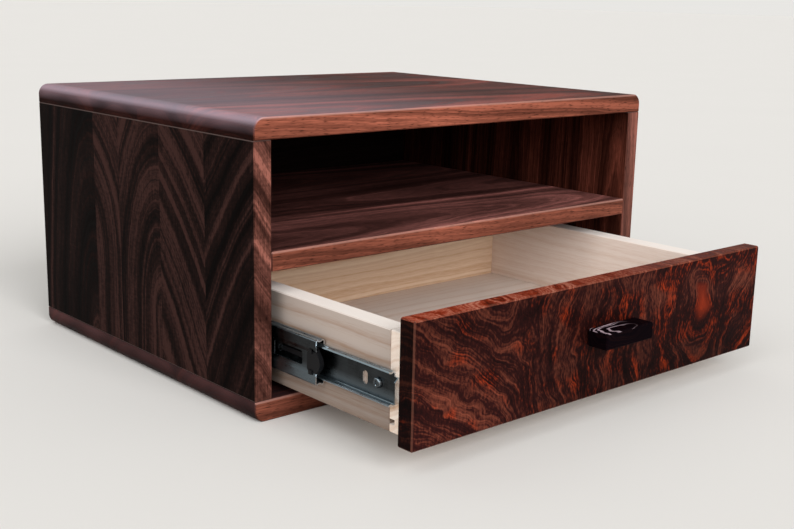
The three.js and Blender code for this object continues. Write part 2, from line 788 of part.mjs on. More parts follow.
// Release lever: pivots at its rear on the drawer member's stud and ends in a ribbed finger pad.
function addReleaseLever(side, label) {
  const pivot = leverPivot(side);
  const boss = leverHeight / 2;
  const neck = leverNeck / 2;
  const padFront = pivot.y - leverLength + boss;
  const padRear = padFront + leverPadLength;
  const bossReach = Math.sqrt(boss ** 2 - neck ** 2);
  const bossAngle = Math.asin(neck / boss);
  const shape = new THREE.Shape();
  shape.moveTo(padFront, pivot.z - boss);
  shape.lineTo(padRear, pivot.z - boss);
  shape.lineTo(padRear + neck, pivot.z - neck);
  shape.lineTo(pivot.y - bossReach, pivot.z - neck);
  shape.absarc(pivot.y, pivot.z, boss, Math.PI + bossAngle, Math.PI * 3 - bossAngle);
  shape.lineTo(padRear + neck, pivot.z + neck);
  shape.lineTo(padRear, pivot.z + boss);
  shape.lineTo(padFront, pivot.z + boss);
  shape.closePath();
  const webFace = slideThickness - drawerMemberSheet;
  const inset = [webFace - leverGap - leverThickness, webFace - leverGap];
  const edges = inset.map((value) => side * (bayHalf - value));
  const bore = roundBar(pivot, new THREE.Vector3(side, 0, 0), studRadius + fitGap, slideThickness);
  const grooves = [];
  for (let index = 0; index < leverRibs; index += 1) {
    const depth = padFront + leverPadLength * (index + 0.5) / leverRibs;
    const groove = slidePlace(side, inset[0], 0, 0).x;
    grooves.push(plainBlock(
      [groove - leverRibDepth, depth - leverRibDepth, pivot.z - leverHeight],
      [groove + leverRibDepth, depth + leverRibDepth, pivot.z + leverHeight],
    ));
  }
  const lever = cut(extrudeAcross(shape, Math.min(...edges), Math.max(...edges)), [bore, ...grooves]);
  addPiece(`${label}_release_lever`, lever, materials.blackPlastic);
}

function faceScrewPlaces() {
  const places = [];
  for (const acrossShare of faceScrewShares) {
    for (const riseShare of faceScrewRiseShares) {
      places.push(new THREE.Vector3(
        boxHalf * 2 * acrossShare, faceRear + boxStock + fitGap, boxBase + boxHeight * riseShare,
      ));
    }
  }
  return places;
}

function pullCentre() {
  return (faceBase + faceTop) / 2 + pullRise;
}

function pullScrewPlaces() {
  const seat = faceRear - counterboreDepth;
  return [-1, 1].map(
    (hand) => new THREE.Vector3(pullOffset + hand * pullWidth * pullScrewShare, seat, pullCentre()),
  );
}

function addDrawerFace() {
  const forward = new THREE.Vector3(0, -1, 0);
  const backward = new THREE.Vector3(0, 1, 0);
  const blank = easedBlock([-faceHalf, faceFront, faceBase], [faceHalf, faceRear, faceTop], faceEase);
  const cuts = faceScrewPlaces().map(
    (place) => roundBar(place, forward, screwRadius + fitGap, faceScrewLength + fitGap),
  );
  for (const place of pullScrewPlaces()) {
    cuts.push(roundBar(place, backward, screwHeadRadius + fitGap, counterboreDepth + overrun));
    cuts.push(roundBar(place, forward, screwRadius + fitGap, faceThickness));
  }
  addPiece("drawer_face", cut(blank, cuts), materials.figuredWalnut);
  faceScrewPlaces().forEach((place, index) => {
    addPiece(`face_screw_${index + 1}`, panScrew(place, forward, faceScrewLength), materials.zinc);
  });
}

function addPull() {
  const forward = new THREE.Vector3(0, -1, 0);
  const half = pullWidth / 2;
  const centre = pullCentre();
  const blank = easedBlock(
    [pullOffset - half, faceFront - pullReach, centre - pullHeight / 2],
    [pullOffset + half, faceFront, centre + pullHeight / 2],
    pullEase,
  );
  const bores = pullScrewPlaces().map(
    (place) => roundBar(place, forward, screwRadius + fitGap, pullScrewLength + fitGap),
  );
  addPiece("drawer_pull", cut(blank, bores), materials.darkWood);
  pullScrewPlaces().forEach((place, index) => {
    const seat = place.clone().addScaledVector(forward, -fitGap);
    addPiece(`pull_screw_${index + 1}`, panScrew(seat, forward, pullScrewLength), materials.zinc);
  });
}

// The groove that holds the drawer bottom, cut along the inner face of each box board.
function bottomGroove(low, high) {
  const base = boxBase + drawerBottomRise;
  return plainBlock(
    [low[0], low[1], base],
    [high[0], high[1], base + drawerBottomThickness + housingGap],
  );
}

function addDrawerBox() {
  const frontRear = faceRear + boxStock;
  const backFace = boxRear - boxStock;
  const forward = new THREE.Vector3(0, -1, 0);
  const frontCuts = faceScrewPlaces().map(
    (place) => roundBar(place, forward, screwRadius + fitGap, faceScrewLength + fitGap),
  );
  frontCuts.push(bottomGroove(
    [-boxHalf - overrun, frontRear - drawerGrooveDepth],
    [boxHalf + overrun, frontRear + overrun],
  ));
  const front = easedBlock([-boxHalf, faceRear, boxBase], [boxHalf, frontRear, boxTop], boxEase);
  addPiece("drawer_box_front", cut(front, frontCuts), materials.maple);

  for (const [side, label] of [[-1, "left"], [1, "right"]]) {
    const edges = [side * boxInnerHalf, side * boxHalf];
    const grooveEdges = [side * (boxInnerHalf - overrun), side * (boxInnerHalf + drawerGrooveDepth)];
    const cuts = [bottomGroove(
      [Math.min(...grooveEdges), frontRear - overrun],
      [Math.max(...grooveEdges), backFace + drawerGrooveDepth],
    )];
    for (const depth of drawerScrewDepths()) {
      const start = slidePlace(side, slideThickness - overrun, depth, 0);
      cuts.push(roundBar(start, towardDrawer(side), screwRadius + fitGap, slideScrewLength + overrun));
    }
    const board = easedBlock(
      [Math.min(...edges), frontRear, boxBase], [Math.max(...edges), boxRear, boxTop], boxEase,
    );
    addPiece(`drawer_box_${label}_side`, cut(board, cuts), materials.maple);
  }

  const back = easedBlock([-boxInnerHalf, backFace, boxBase], [boxInnerHalf, boxRear, boxTop], boxEase);
  const backCuts = [bottomGroove(
    [-boxInnerHalf - overrun, backFace - overrun],
    [boxInnerHalf + overrun, backFace + drawerGrooveDepth],
  )];
  addPiece("drawer_box_back", cut(back, backCuts), materials.maple);

  const reach = boxInnerHalf + drawerGrooveDepth - drawerBottomPlay;
  const base = boxBase + drawerBottomRise;
  const bottom = plainBlock(
    [-reach, frontRear - drawerGrooveDepth + drawerBottomPlay, base],
    [reach, backFace + drawerGrooveDepth - drawerBottomPlay, base + drawerBottomThickness],
  );
  addPiece("drawer_bottom", bottom, materials.plywood);
}

const outerCage = {
  name: "outer_ball_cage",
  speedShare: 0.25,
  webInset: outerCageInset,
  ballInset: outerBallInset,
  ballHeight: outerBallHeight,
  ballRadius: outerBallRadius,
};
const innerCage = {
  name: "inner_ball_cage",
  speedShare: 0.75,
  webInset: innerCageInset,
  ballInset: innerBallInset,
  ballHeight: innerBallHeight,
  ballRadius: innerBallRadius,
};

addCaps();
addSide(-1, "left_side_panel");
addSide(1, "right_side_panel");
addShelf();
addBack();
addCleat();
addDrawerFace();
addPull();
addDrawerBox();
for (const [side, label] of [[-1, "left"], [1, "right"]]) {
  addCaseMember(side, label);
  addRearBuffer(side, label);
  addCage(side, label, outerCage);
  addMidMember(side, label);
  addBumper(side, label);
  addCage(side, label, innerCage);
  addDrawerMember(side, label);
  addReleaseLever(side, label);
}

export default nightstand;
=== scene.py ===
import math

import bmesh
import bpy
from bpy.props import FloatProperty, FloatVectorProperty, PointerProperty
from bpy.types import Node, NodeSocket, Operator, Panel, PropertyGroup
from mathutils import Matrix, Vector


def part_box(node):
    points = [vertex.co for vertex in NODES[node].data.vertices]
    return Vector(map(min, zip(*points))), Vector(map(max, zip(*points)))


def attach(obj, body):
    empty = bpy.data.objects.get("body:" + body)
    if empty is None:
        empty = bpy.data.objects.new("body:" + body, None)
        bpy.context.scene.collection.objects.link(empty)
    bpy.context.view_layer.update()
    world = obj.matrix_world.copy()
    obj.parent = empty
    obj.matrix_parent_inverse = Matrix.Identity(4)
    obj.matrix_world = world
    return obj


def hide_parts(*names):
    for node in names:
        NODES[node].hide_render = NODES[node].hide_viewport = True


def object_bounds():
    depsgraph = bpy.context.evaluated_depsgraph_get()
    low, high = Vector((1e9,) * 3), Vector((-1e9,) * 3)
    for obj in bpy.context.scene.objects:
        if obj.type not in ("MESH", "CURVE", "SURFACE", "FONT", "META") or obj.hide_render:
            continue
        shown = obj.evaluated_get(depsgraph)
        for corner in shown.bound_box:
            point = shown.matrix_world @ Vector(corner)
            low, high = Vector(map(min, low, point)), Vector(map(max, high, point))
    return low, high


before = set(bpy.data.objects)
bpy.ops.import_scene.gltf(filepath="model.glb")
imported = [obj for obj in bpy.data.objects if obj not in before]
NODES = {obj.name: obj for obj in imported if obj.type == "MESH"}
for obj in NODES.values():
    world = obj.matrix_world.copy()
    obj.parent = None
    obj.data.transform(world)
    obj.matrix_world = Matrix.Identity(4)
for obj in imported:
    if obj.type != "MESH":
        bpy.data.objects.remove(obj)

bl_info = {
    "name": "Wall-hung Nightstand",
    "version": (1, 0, 0),
    "blender": (4, 5, 0),
    "location": "View3D > Sidebar > Nightstand",
    "description": "Finishes, threaded screws and a studio stage for a walnut nightstand with one drawer",
    "category": "Object",
}

MM = 0.001
CAD_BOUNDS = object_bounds()
FORWARD = (0, -1, 0)
LEFTWARD = (-1, 0, 0)
RIGHTWARD = (1, 0, 0)
UPWARD = (0, 0, 1)


def linear(code):
    """Linear colour of an sRGB hex value."""
    channels = [(code >> shift & 255) / 255 for shift in (16, 8, 0)]
    return tuple(c / 12.92 if c <= 0.04045 else ((c + 0.055) / 1.055) ** 2.4 for c in channels)


def opaque(colour):
    """A colour with full alpha, as ramps and mix nodes take it."""
    return (*colour, 1.0)


def colour_setting(name, description, code):
    """A colour that a user may change, with its default as an sRGB hex value."""
    return FloatVectorProperty(
        name=name, description=description, subtype="COLOR", min=0, max=1, default=linear(code),
    )


class WalnutSettings(PropertyGroup):
    top: colour_setting("Top", "Middle colour of the top and base boards", 0x421F1A)
    # The left side is the darkest of the boards: partly its own dark wood, partly painted shade where less
    # light falls on it.
    left_side: colour_setting("Left side", "Middle colour of the left side board", 0x1A0E0C)
    right_side: colour_setting("Right side", "Middle colour of the right side board", 0x3F1E16)
    shelf: colour_setting("Shelf", "Middle colour of the shelf", 0x5C3834)
    back: colour_setting("Back", "Middle colour of the back and the cleat", 0x1A100E)
    # The sheen is painted: a grey reflection added to the colour towards the left end of the top.
    sheen: colour_setting(
        "Sheen", "Cool grey that burnished oil adds towards the left end of the top", 0x645D66,
    )
    # The arris is a painted highlight, where the eased ends of the side boards catch the light.
    arris_highlight: colour_setting("Arris", "Pale line where the ends of the side boards are eased", 0x6A5A56)
    # The nose is a painted highlight, where the eased upper front corners catch the light.
    nose_highlight: colour_setting("Nose", "Pale rubbed corner along the upper front edges", 0xBA8D81)
    front_edge: colour_setting("Front edge", "Middle colour of the boards' front edges", 0x6E3D2F)
    side_edge: colour_setting("Side edge", "Middle colour of the front edges of the two sides", 0x5B372F)


class FigureSettings(PropertyGroup):
    ground: colour_setting("Ground", "Black brown of the deepest streaks", 0x0B0404)
    body: colour_setting("Body", "Red brown that fills the figure", 0x200A09)
    flame: colour_setting("Flame", "Orange of the brightest fibres", 0xA1371A)
    eye: colour_setting("Eye", "Red orange of the one sound eye", 0x852B14)
    # The arris colour is a painted highlight: on the face's eased corners and, brighter, on its lit top
    # edge.
    arris_highlight: colour_setting("Arris", "Pale rose brown of the rubbed corners of the face", 0xA56C59)
    pale: colour_setting("Pale", "Grey brown where the grain runs out of the face", 0x683527)


class BoxSettings(PropertyGroup):
    maple: colour_setting("Maple", "Colour of the bare maple box", 0xF4E3D5)
    grain: colour_setting("Grain", "Darker growth lines of the maple", 0xC4966E)


class HardwareSettings(PropertyGroup):
    steel: colour_setting("Steel", "Zinc plated sheet of the slides", 0x2D3032)
    # Race is also the colour of the painted reflection on up-facing folds and on the lower half of a web.
    race_and_reflection: colour_setting("Race", "Burnished steel where the balls run", 0x9FB0BA)
    plastic: colour_setting("Plastic", "Black moulded bumpers, buffers and levers", 0x0E0E10)


class StageSettings(PropertyGroup):
    floor: colour_setting("Floor", "Colour of the plain floor", 0xE7E5E2)
    key: FloatProperty(
        name="Key", description="Strength of the soft main lamp", min=0, max=10, default=2.35,
    )
    fill: FloatProperty(
        name="Fill", description="Strength of the soft fill lamp", min=0, max=10, default=1.35,
    )
    room: FloatProperty(
        name="Room", description="Strength of the even room light", min=0, max=2, default=0.44,
    )
    backdrop: FloatProperty(
        name="Backdrop", description="Strength of the backdrop as seen, where 1 is white",
        min=0, max=1, default=0.81,
    )
    lens: FloatProperty(
        name="Lens", description="Focal length of the camera", subtype="DISTANCE_CAMERA", min=10, max=200,
        default=53.18,
    )


def feed(tree, socket, value):
    """Sets a socket to a value, or links it to another socket or to a node's first output."""
    if isinstance(value, Node):
        value = value.outputs[0]
    if isinstance(value, NodeSocket):
        tree.links.new(value, socket)
    else:
        socket.default_value = value


def add(tree, kind, inputs=None, stops=None, **settings):
    """Adds a node, its type named without the leading ShaderNode, with its settings, stops and inputs.

    Blender's own values stand where none are given: a map range runs from 0 to 1, a noise is 0.5 rough.
    """
    node = tree.nodes.new(f"ShaderNode{kind}")
    for name, value in settings.items():
        setattr(node, name, value)
    if stops:
        elements = node.color_ramp.elements
        while len(elements) < len(stops):
            elements.new(0.5)
        for element, (position, colour) in zip(elements, stops):
            element.position = position
            element.color = colour
    for name, value in (inputs or {}).items():
        feed(tree, node.inputs[name], value)
    return node


def new_finish(name, **sockets):
    """A material with one principled shader, with its constant sockets set."""
    material = bpy.data.materials.new(name)
    material.use_nodes = True
    tree = material.node_tree
    tree.nodes.clear()
    shader = add(tree, "BsdfPrincipled")
    for socket, value in sockets.items():
        feed(tree, shader.inputs[socket.replace("_", " ")], value)
    add(tree, "OutputMaterial", {"Surface": shader})
    return material, tree, shader


# Axes along, across and through a board that lies flat, stands across, stands upright or runs back on edge
LYING = (0, 1, 2)
ACROSS = (0, 2, 1)
UPRIGHT = (2, 1, 0)
BACKWARD = (1, 2, 0)
# Roughness of each finish where it is smoothest and where it is dullest
OILED = (0.44, 0.58)
FINE_OILED = (0.42, 0.54)
OILED_WENGE = (0.34, 0.46)
SANDED = (0.5, 0.62)
SATIN = (0.38, 0.52)


def lay_finish(tree, shader, colour, guide, dull, relief=None, strength=0, depth=0, span=(0.3, 0.7)):
    """Links a finish's colour and its roughness, which follows a guide, and its relief in millimetres."""
    feed(tree, shader.inputs["Base Color"], colour)
    feed(tree, shader.inputs["Roughness"], add(tree, "MapRange", {
        0: guide, "From Min": span[0], "From Max": span[1], "To Min": dull[0], "To Max": dull[1],
    }))
    if relief:
        bump = add(tree, "Bump", {"Height": relief, "Strength": strength, "Distance": depth * MM})
        feed(tree, shader.inputs["Normal"], bump)


def board_place(tree, node, axes):
    """Millimetres along, across and through a board, from the low corner of its CAD node."""
    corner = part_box(node)[0] / MM
    spot = add(tree, "TexCoord").outputs["Object"]
    local = add(tree, "VectorMath", {0: spot, 1: (1 / MM,) * 3, 2: -corner}, operation="MULTIPLY_ADD")
    parts = add(tree, "SeparateXYZ", {0: local}).outputs
    return add(tree, "CombineXYZ", {i: parts[axis] for i, axis in enumerate(axes)})


def facing(tree, way):
    """How far a surface faces a given way: 1 is fully, 0 is square to it and -1 is away."""
    normal = add(tree, "TexCoord").outputs["Normal"]
    return add(tree, "VectorMath", {0: normal, 1: way}, operation="DOT_PRODUCT").outputs["Value"]


def stretched(tree, place, size):
    """Place in a board counted in grains of the given size in millimetres."""
    return add(tree, "VectorMath", {0: place, 1: tuple(1 / s for s in size)}, operation="MULTIPLY")


# Layers of the walnut: sway and shake of the rings, fibre, patches of tone, waves of curl and open pores.
# Each has its size along, across and through the board in millimetres, its octaves and its roughness.
WALNUT_LAYERS = (
    ((150, 60, 60), 2, 0.5),
    ((22, 7, 7), 1, 0.5),
    ((22, 1.2, 1.2), 2, 0.65),
    ((120, 55, 55), 1, 0.5),
    ((2.4, 6, 6), 1, 0.5),
    ((8, 0.9, 0.9), 1, 0.5),
)
# Limits between which a strip's pith, depth and slope are stored in a colour ramp
PITH_RANGE = (-200, 600)
DEPTH_RANGE = (-200, 400)
SLOPE_RANGE = (-1, 1)


def share_of(value, limits):
    """Where a value lies between two limits, from 0 to 1."""
    return (value - limits[0]) / (limits[1] - limits[0])


# Widths of the broad and the narrow growth rings, and how far sway and shake move them, in millimetres
BROAD_RING = 13
NARROW_RING = 2.6
RING_SWAY = 10
RING_SHAKE = 1.6
# Mean of a board's summed layers, without its curl
MEAN_TONE = 2.9
# Lengths in millimetres: over which a board's painted sheen fades, where its crown of painted sheen starts
# to fade and has gone, and how far from its corners the painted highlights start and are full
PAINTED_SHEEN_REACH = 340
PAINTED_SHEEN_CROWN = (4, 16)
NOSE_HIGHLIGHT_BAND = (2.0, 0.8)
ARRIS_HIGHLIGHT_BAND = (1.2, 0.6)


def oiled_walnut(
    name, node, axes, strips, tones, curl=0.0, gloss=0.03, spread=0.7, sheen=None, arris_highlight=None, nose_highlight=None,
):
    """Black walnut, planed, glued up from strips, sanded and oiled.

    Each strip is cut from its own log, so its growth rings are cones about its own pith. The open
    pores stay as short dark dashes, and the oil leaves a satin face that is darker in the veins.
    """
    board, edge = (Vector(tone) for tone in tones)
    material, tree, shader = new_finish(name, Specular_IOR_Level=gloss)
    place = board_place(tree, node, axes)
    along, across, through = add(tree, "SeparateXYZ", {0: place}).outputs
    low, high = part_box(node)
    length, width, thickness = ((high - low)[axis] / MM for axis in axes)

    stops = []
    for start, pith, depth, slope, tone in strips:
        log = zip((pith, depth, slope), (PITH_RANGE, DEPTH_RANGE, SLOPE_RANGE))
        stops.append((start / width, (*(share_of(value, limits) for value, limits in log), tone)))
    spot = add(tree, "Math", {0: across, 1: width}, operation="DIVIDE")
    ramp = add(tree, "ValToRGB", {0: spot}, stops=stops)
    ramp.color_ramp.interpolation = "CONSTANT"
    log = add(tree, "SeparateColor", {0: ramp.outputs["Color"]}).outputs
    pith, depth, slope = (
        add(
            tree, "Math", {0: log[index], 1: limits[1] - limits[0], 2: limits[0]},
            operation="MULTIPLY_ADD",
        )
        for index, limits in enumerate((PITH_RANGE, DEPTH_RANGE, SLOPE_RANGE))
    )
    beside = add(tree, "Math", {0: across, 1: pith}, operation="SUBTRACT")
    taper = add(tree, "Math", {0: along, 1: slope, 2: depth}, operation="MULTIPLY_ADD")
    below = add(tree, "Math", {0: taper, 1: through}, operation="ADD")
    # Below the tip of a cone the rings run straight on down the board.
    below = add(tree, "Math", {0: below, 1: 0.0}, operation="MAXIMUM")
    reach = add(tree, "CombineXYZ", {0: beside, 1: below})
    radius = add(tree, "VectorMath", {0: reach}, operation="LENGTH").outputs["Value"]

    sway, shake, fibre, patch, wave, pore = (
        add(tree, "TexNoise", {
            "Vector": stretched(tree, place, size), "Scale": 1, "Detail": octaves, "Roughness": roughness,
        })
        for size, octaves, roughness in WALNUT_LAYERS
    )
    ring = add(tree, "Math", {0: sway, 1: RING_SWAY, 2: radius}, operation="MULTIPLY_ADD")
    ring = add(tree, "Math", {0: shake, 1: RING_SHAKE, 2: ring}, operation="MULTIPLY_ADD")
    broad = add(tree, "TexNoise", {
        "W": ring, "Scale": 1 / BROAD_RING, "Detail": 1,
    }, noise_dimensions="1D")
    narrow = add(tree, "TexNoise", {
        "W": ring, "Scale": 1 / NARROW_RING, "Detail": 3, "Roughness": 0.7,
    }, noise_dimensions="1D")
    tone = ramp.outputs["Alpha"]
    for layer, share in ((broad, 1.9), (narrow, 1.3), (fibre, 1.0), (patch, 0.7), (wave, curl)):
        tone = add(tree, "Math", {0: layer, 1: share, 2: tone}, operation="MULTIPLY_ADD")
    middle = MEAN_TONE + curl / 2
    level = add(tree, "MapRange", {0: tone, "From Min": middle - spread, "From Max": middle + spread})
    faces = [
        add(tree, "ValToRGB", {0: level}, stops=[
            (position, opaque(body * share)) for position, share in zip((0, 0.3, 0.55, 0.8, 1), shares)
        ])
        for body, shares in ((board, (0.15, 0.5, 1, 2.2, 4)), (edge, (0.3, 0.62, 1, 1.6, 2.6)))
    ]
    # Front edges take their own lighter palette: partly the paler edge grain, partly painted sheen where
    # they face the front.
    front = facing(tree, FORWARD)
    front = add(tree, "MapRange", {0: front, "From Min": 0.5, "From Max": 0.8})
    if nose_highlight:
        # The front edges darken from left to right along the board.
        rightward_darkening = add(tree, "MapRange", {
            0: along, "From Min": 0, "From Max": length, "To Min": 1.05, "To Max": 0.62,
        })
        faces[1] = add(tree, "VectorMath", {0: faces[1], "Scale": rightward_darkening}, operation="SCALE")
    colour = add(tree, "Mix", {"Factor": front, 6: faces[0], 7: faces[1]}, data_type="RGBA").outputs[2]

    # Ends drink more oil, which hides most of their rings under dark blots.
    ends = facing(tree, UPWARD if axes == UPRIGHT else RIGHTWARD)
    ends = add(tree, "Math", {0: ends}, operation="ABSOLUTE")
    ends = add(tree, "MapRange", {
        0: ends, "From Min": 0.35, "From Max": 0.85, "To Min": 0, "To Max": 0.8,
    })
    blot = add(tree, "ValToRGB", {0: patch}, stops=[
        (0.35, opaque(board * 0.5)), (0.65, opaque(board * 1.3)),
    ])
    # Painted shade: the ends darken towards the board's underside, where a rounded end turns away from the
    # light.
    upper = add(tree, "MapRange", {0: through, "From Min": thickness * 0.2, "From Max": thickness * 0.85})
    underside_shade = add(tree, "Math", {0: upper, 1: 0.9, 2: 0.1}, operation="MULTIPLY_ADD")
    blot = add(tree, "VectorMath", {0: blot, "Scale": underside_shade}, operation="SCALE")
    colour = add(tree, "Mix", {"Factor": ends, 6: colour, 7: blot}, data_type="RGBA").outputs[2]

    open_pore = add(tree, "MapRange", {0: pore, "From Min": 0.58, "From Max": 0.7})
    depth = add(tree, "MapRange", {0: front, "To Min": -0.5, "To Max": -0.62})
    shade = add(tree, "Math", {0: open_pore, 1: depth, 2: 1.0}, operation="MULTIPLY_ADD")
    colour = add(tree, "VectorMath", {0: colour, "Scale": shade}, operation="SCALE")
    if sheen:
        # Painted sheen: a grey reflection is added towards one end of the board, and there to the upper
        # half of its rounded end.
        share = add(tree, "MapRange", {
            0: along, "From Min": 0, "From Max": PAINTED_SHEEN_REACH, "To Min": 1, "To Max": 0,
        }, interpolation_type="SMOOTHSTEP")
        flat = add(tree, "MapRange", {0: facing(tree, UPWARD), "From Min": 0.2, "From Max": 0.7})
        rounded = add(tree, "Math", {0: upper, 1: ends}, operation="MULTIPLY")
        rounded = add(tree, "Math", {0: rounded, 1: patch}, operation="MULTIPLY")
        flat = add(tree, "Math", {0: flat, 1: rounded}, operation="MAXIMUM")
        start, stop = PAINTED_SHEEN_CROWN
        crown = add(tree, "MapRange", {
            0: along, "From Min": start, "From Max": stop, "To Min": 1.9, "To Max": 1,
        })
        for part in (flat, crown):
            share = add(tree, "Math", {0: share, 1: part}, operation="MULTIPLY")
        lift = add(tree, "VectorMath", {0: tuple(sheen), "Scale": share}, operation="SCALE")
        colour = add(tree, "VectorMath", {0: colour, 1: lift}, operation="ADD")
    if nose_highlight:
        # Painted highlight: the upper corner of the front edge is painted pale, where the eased corner
        # catches the light.
        start, full = (thickness - band for band in NOSE_HIGHLIGHT_BAND)
        corner = add(tree, "MapRange", {
            0: through, "From Min": start, "From Max": full, "To Min": 0, "To Max": 0.55,
        })
        corner = add(tree, "Math", {0: corner, 1: front}, operation="MULTIPLY")
        colour = add(
            tree, "Mix", {"Factor": corner, 6: colour, 7: opaque(nose_highlight)}, data_type="RGBA",
        ).outputs[2]
    if arris_highlight:
        # Painted highlight: the eased corners at both ends of the board are painted pale, where they catch
        # the light.
        centred = add(tree, "Math", {0: along, 1: length / 2}, operation="SUBTRACT")
        outward = add(tree, "Math", {0: centred}, operation="ABSOLUTE")
        start, full = (length / 2 - band for band in ARRIS_HIGHLIGHT_BAND)
        rubbed = add(tree, "MapRange", {
            0: outward, "From Min": start, "From Max": full, "To Min": 0, "To Max": 0.8,
        })
        plain = add(tree, "Math", {0: 1.0, 1: front}, operation="SUBTRACT")
        rubbed = add(tree, "Math", {0: rubbed, 1: plain}, operation="MULTIPLY")
        colour = add(
            tree, "Mix", {"Factor": rubbed, 6: colour, 7: opaque(arris_highlight)}, data_type="RGBA",
        ).outputs[2]
    relief = add(tree, "Math", {0: open_pore, 1: -1.0, 2: fibre}, operation="MULTIPLY_ADD")
    lay_finish(tree, shader, colour, narrow, OILED, relief, strength=0.2, depth=0.2)
    return material


# Places of the two eyes in the figured face, in millimetres from its left end and from its foot
LEFT_EYE = (183, 45)
RIGHT_EYE = (333, 57)
# Growth of the face from left to right: where each field starts to take over and has done so, its kind,
# its eye with its squeeze or else its slope across the grain, and the shift that joins it to the last.
FIGURE_FIELDS = (
    (0, 0, "SLOPE", (-0.54, -0.84), 322),
    (85, 130, "EYE", (*LEFT_EYE, 0.8), 150),
    (150, 190, "EYE", (*RIGHT_EYE, 0.5), 0),
    (345, 380, "SLOPE", (0.8, -0.5), -236),
)
# Broad streaks, narrow streaks and shadows: size across and along the streaks, octaves and roughness
FIGURE_LAYERS = (
    ((4.6, 44, 1), 2, 0.6),
    ((1.5, 22, 1), 2, 0.65),
    ((15, 90, 1), 1, 0.5),
)
# The broad and the fine noise that move the figure: size and reach in millimetres, and roughness
FIGURE_SHIFTS = (
    ((46, 36, 40), (36, 28, 0), 0.55),
    ((10, 12, 11), (3, 3, 0), 0.6),
)
# Sizes of the figure's flecks and of its clouds of ember in millimetres
FIGURE_FLECK = (2, 4.5, 2)
EMBER_CLOUD = (34, 26, 30)
# Squeeze of the right eye's sound heart, which is rounder than its rings, and the lengths from its
# middle between which it fades out, in millimetres
HEART_SQUEEZE = 0.85
HEART_FADE = (3, 13)


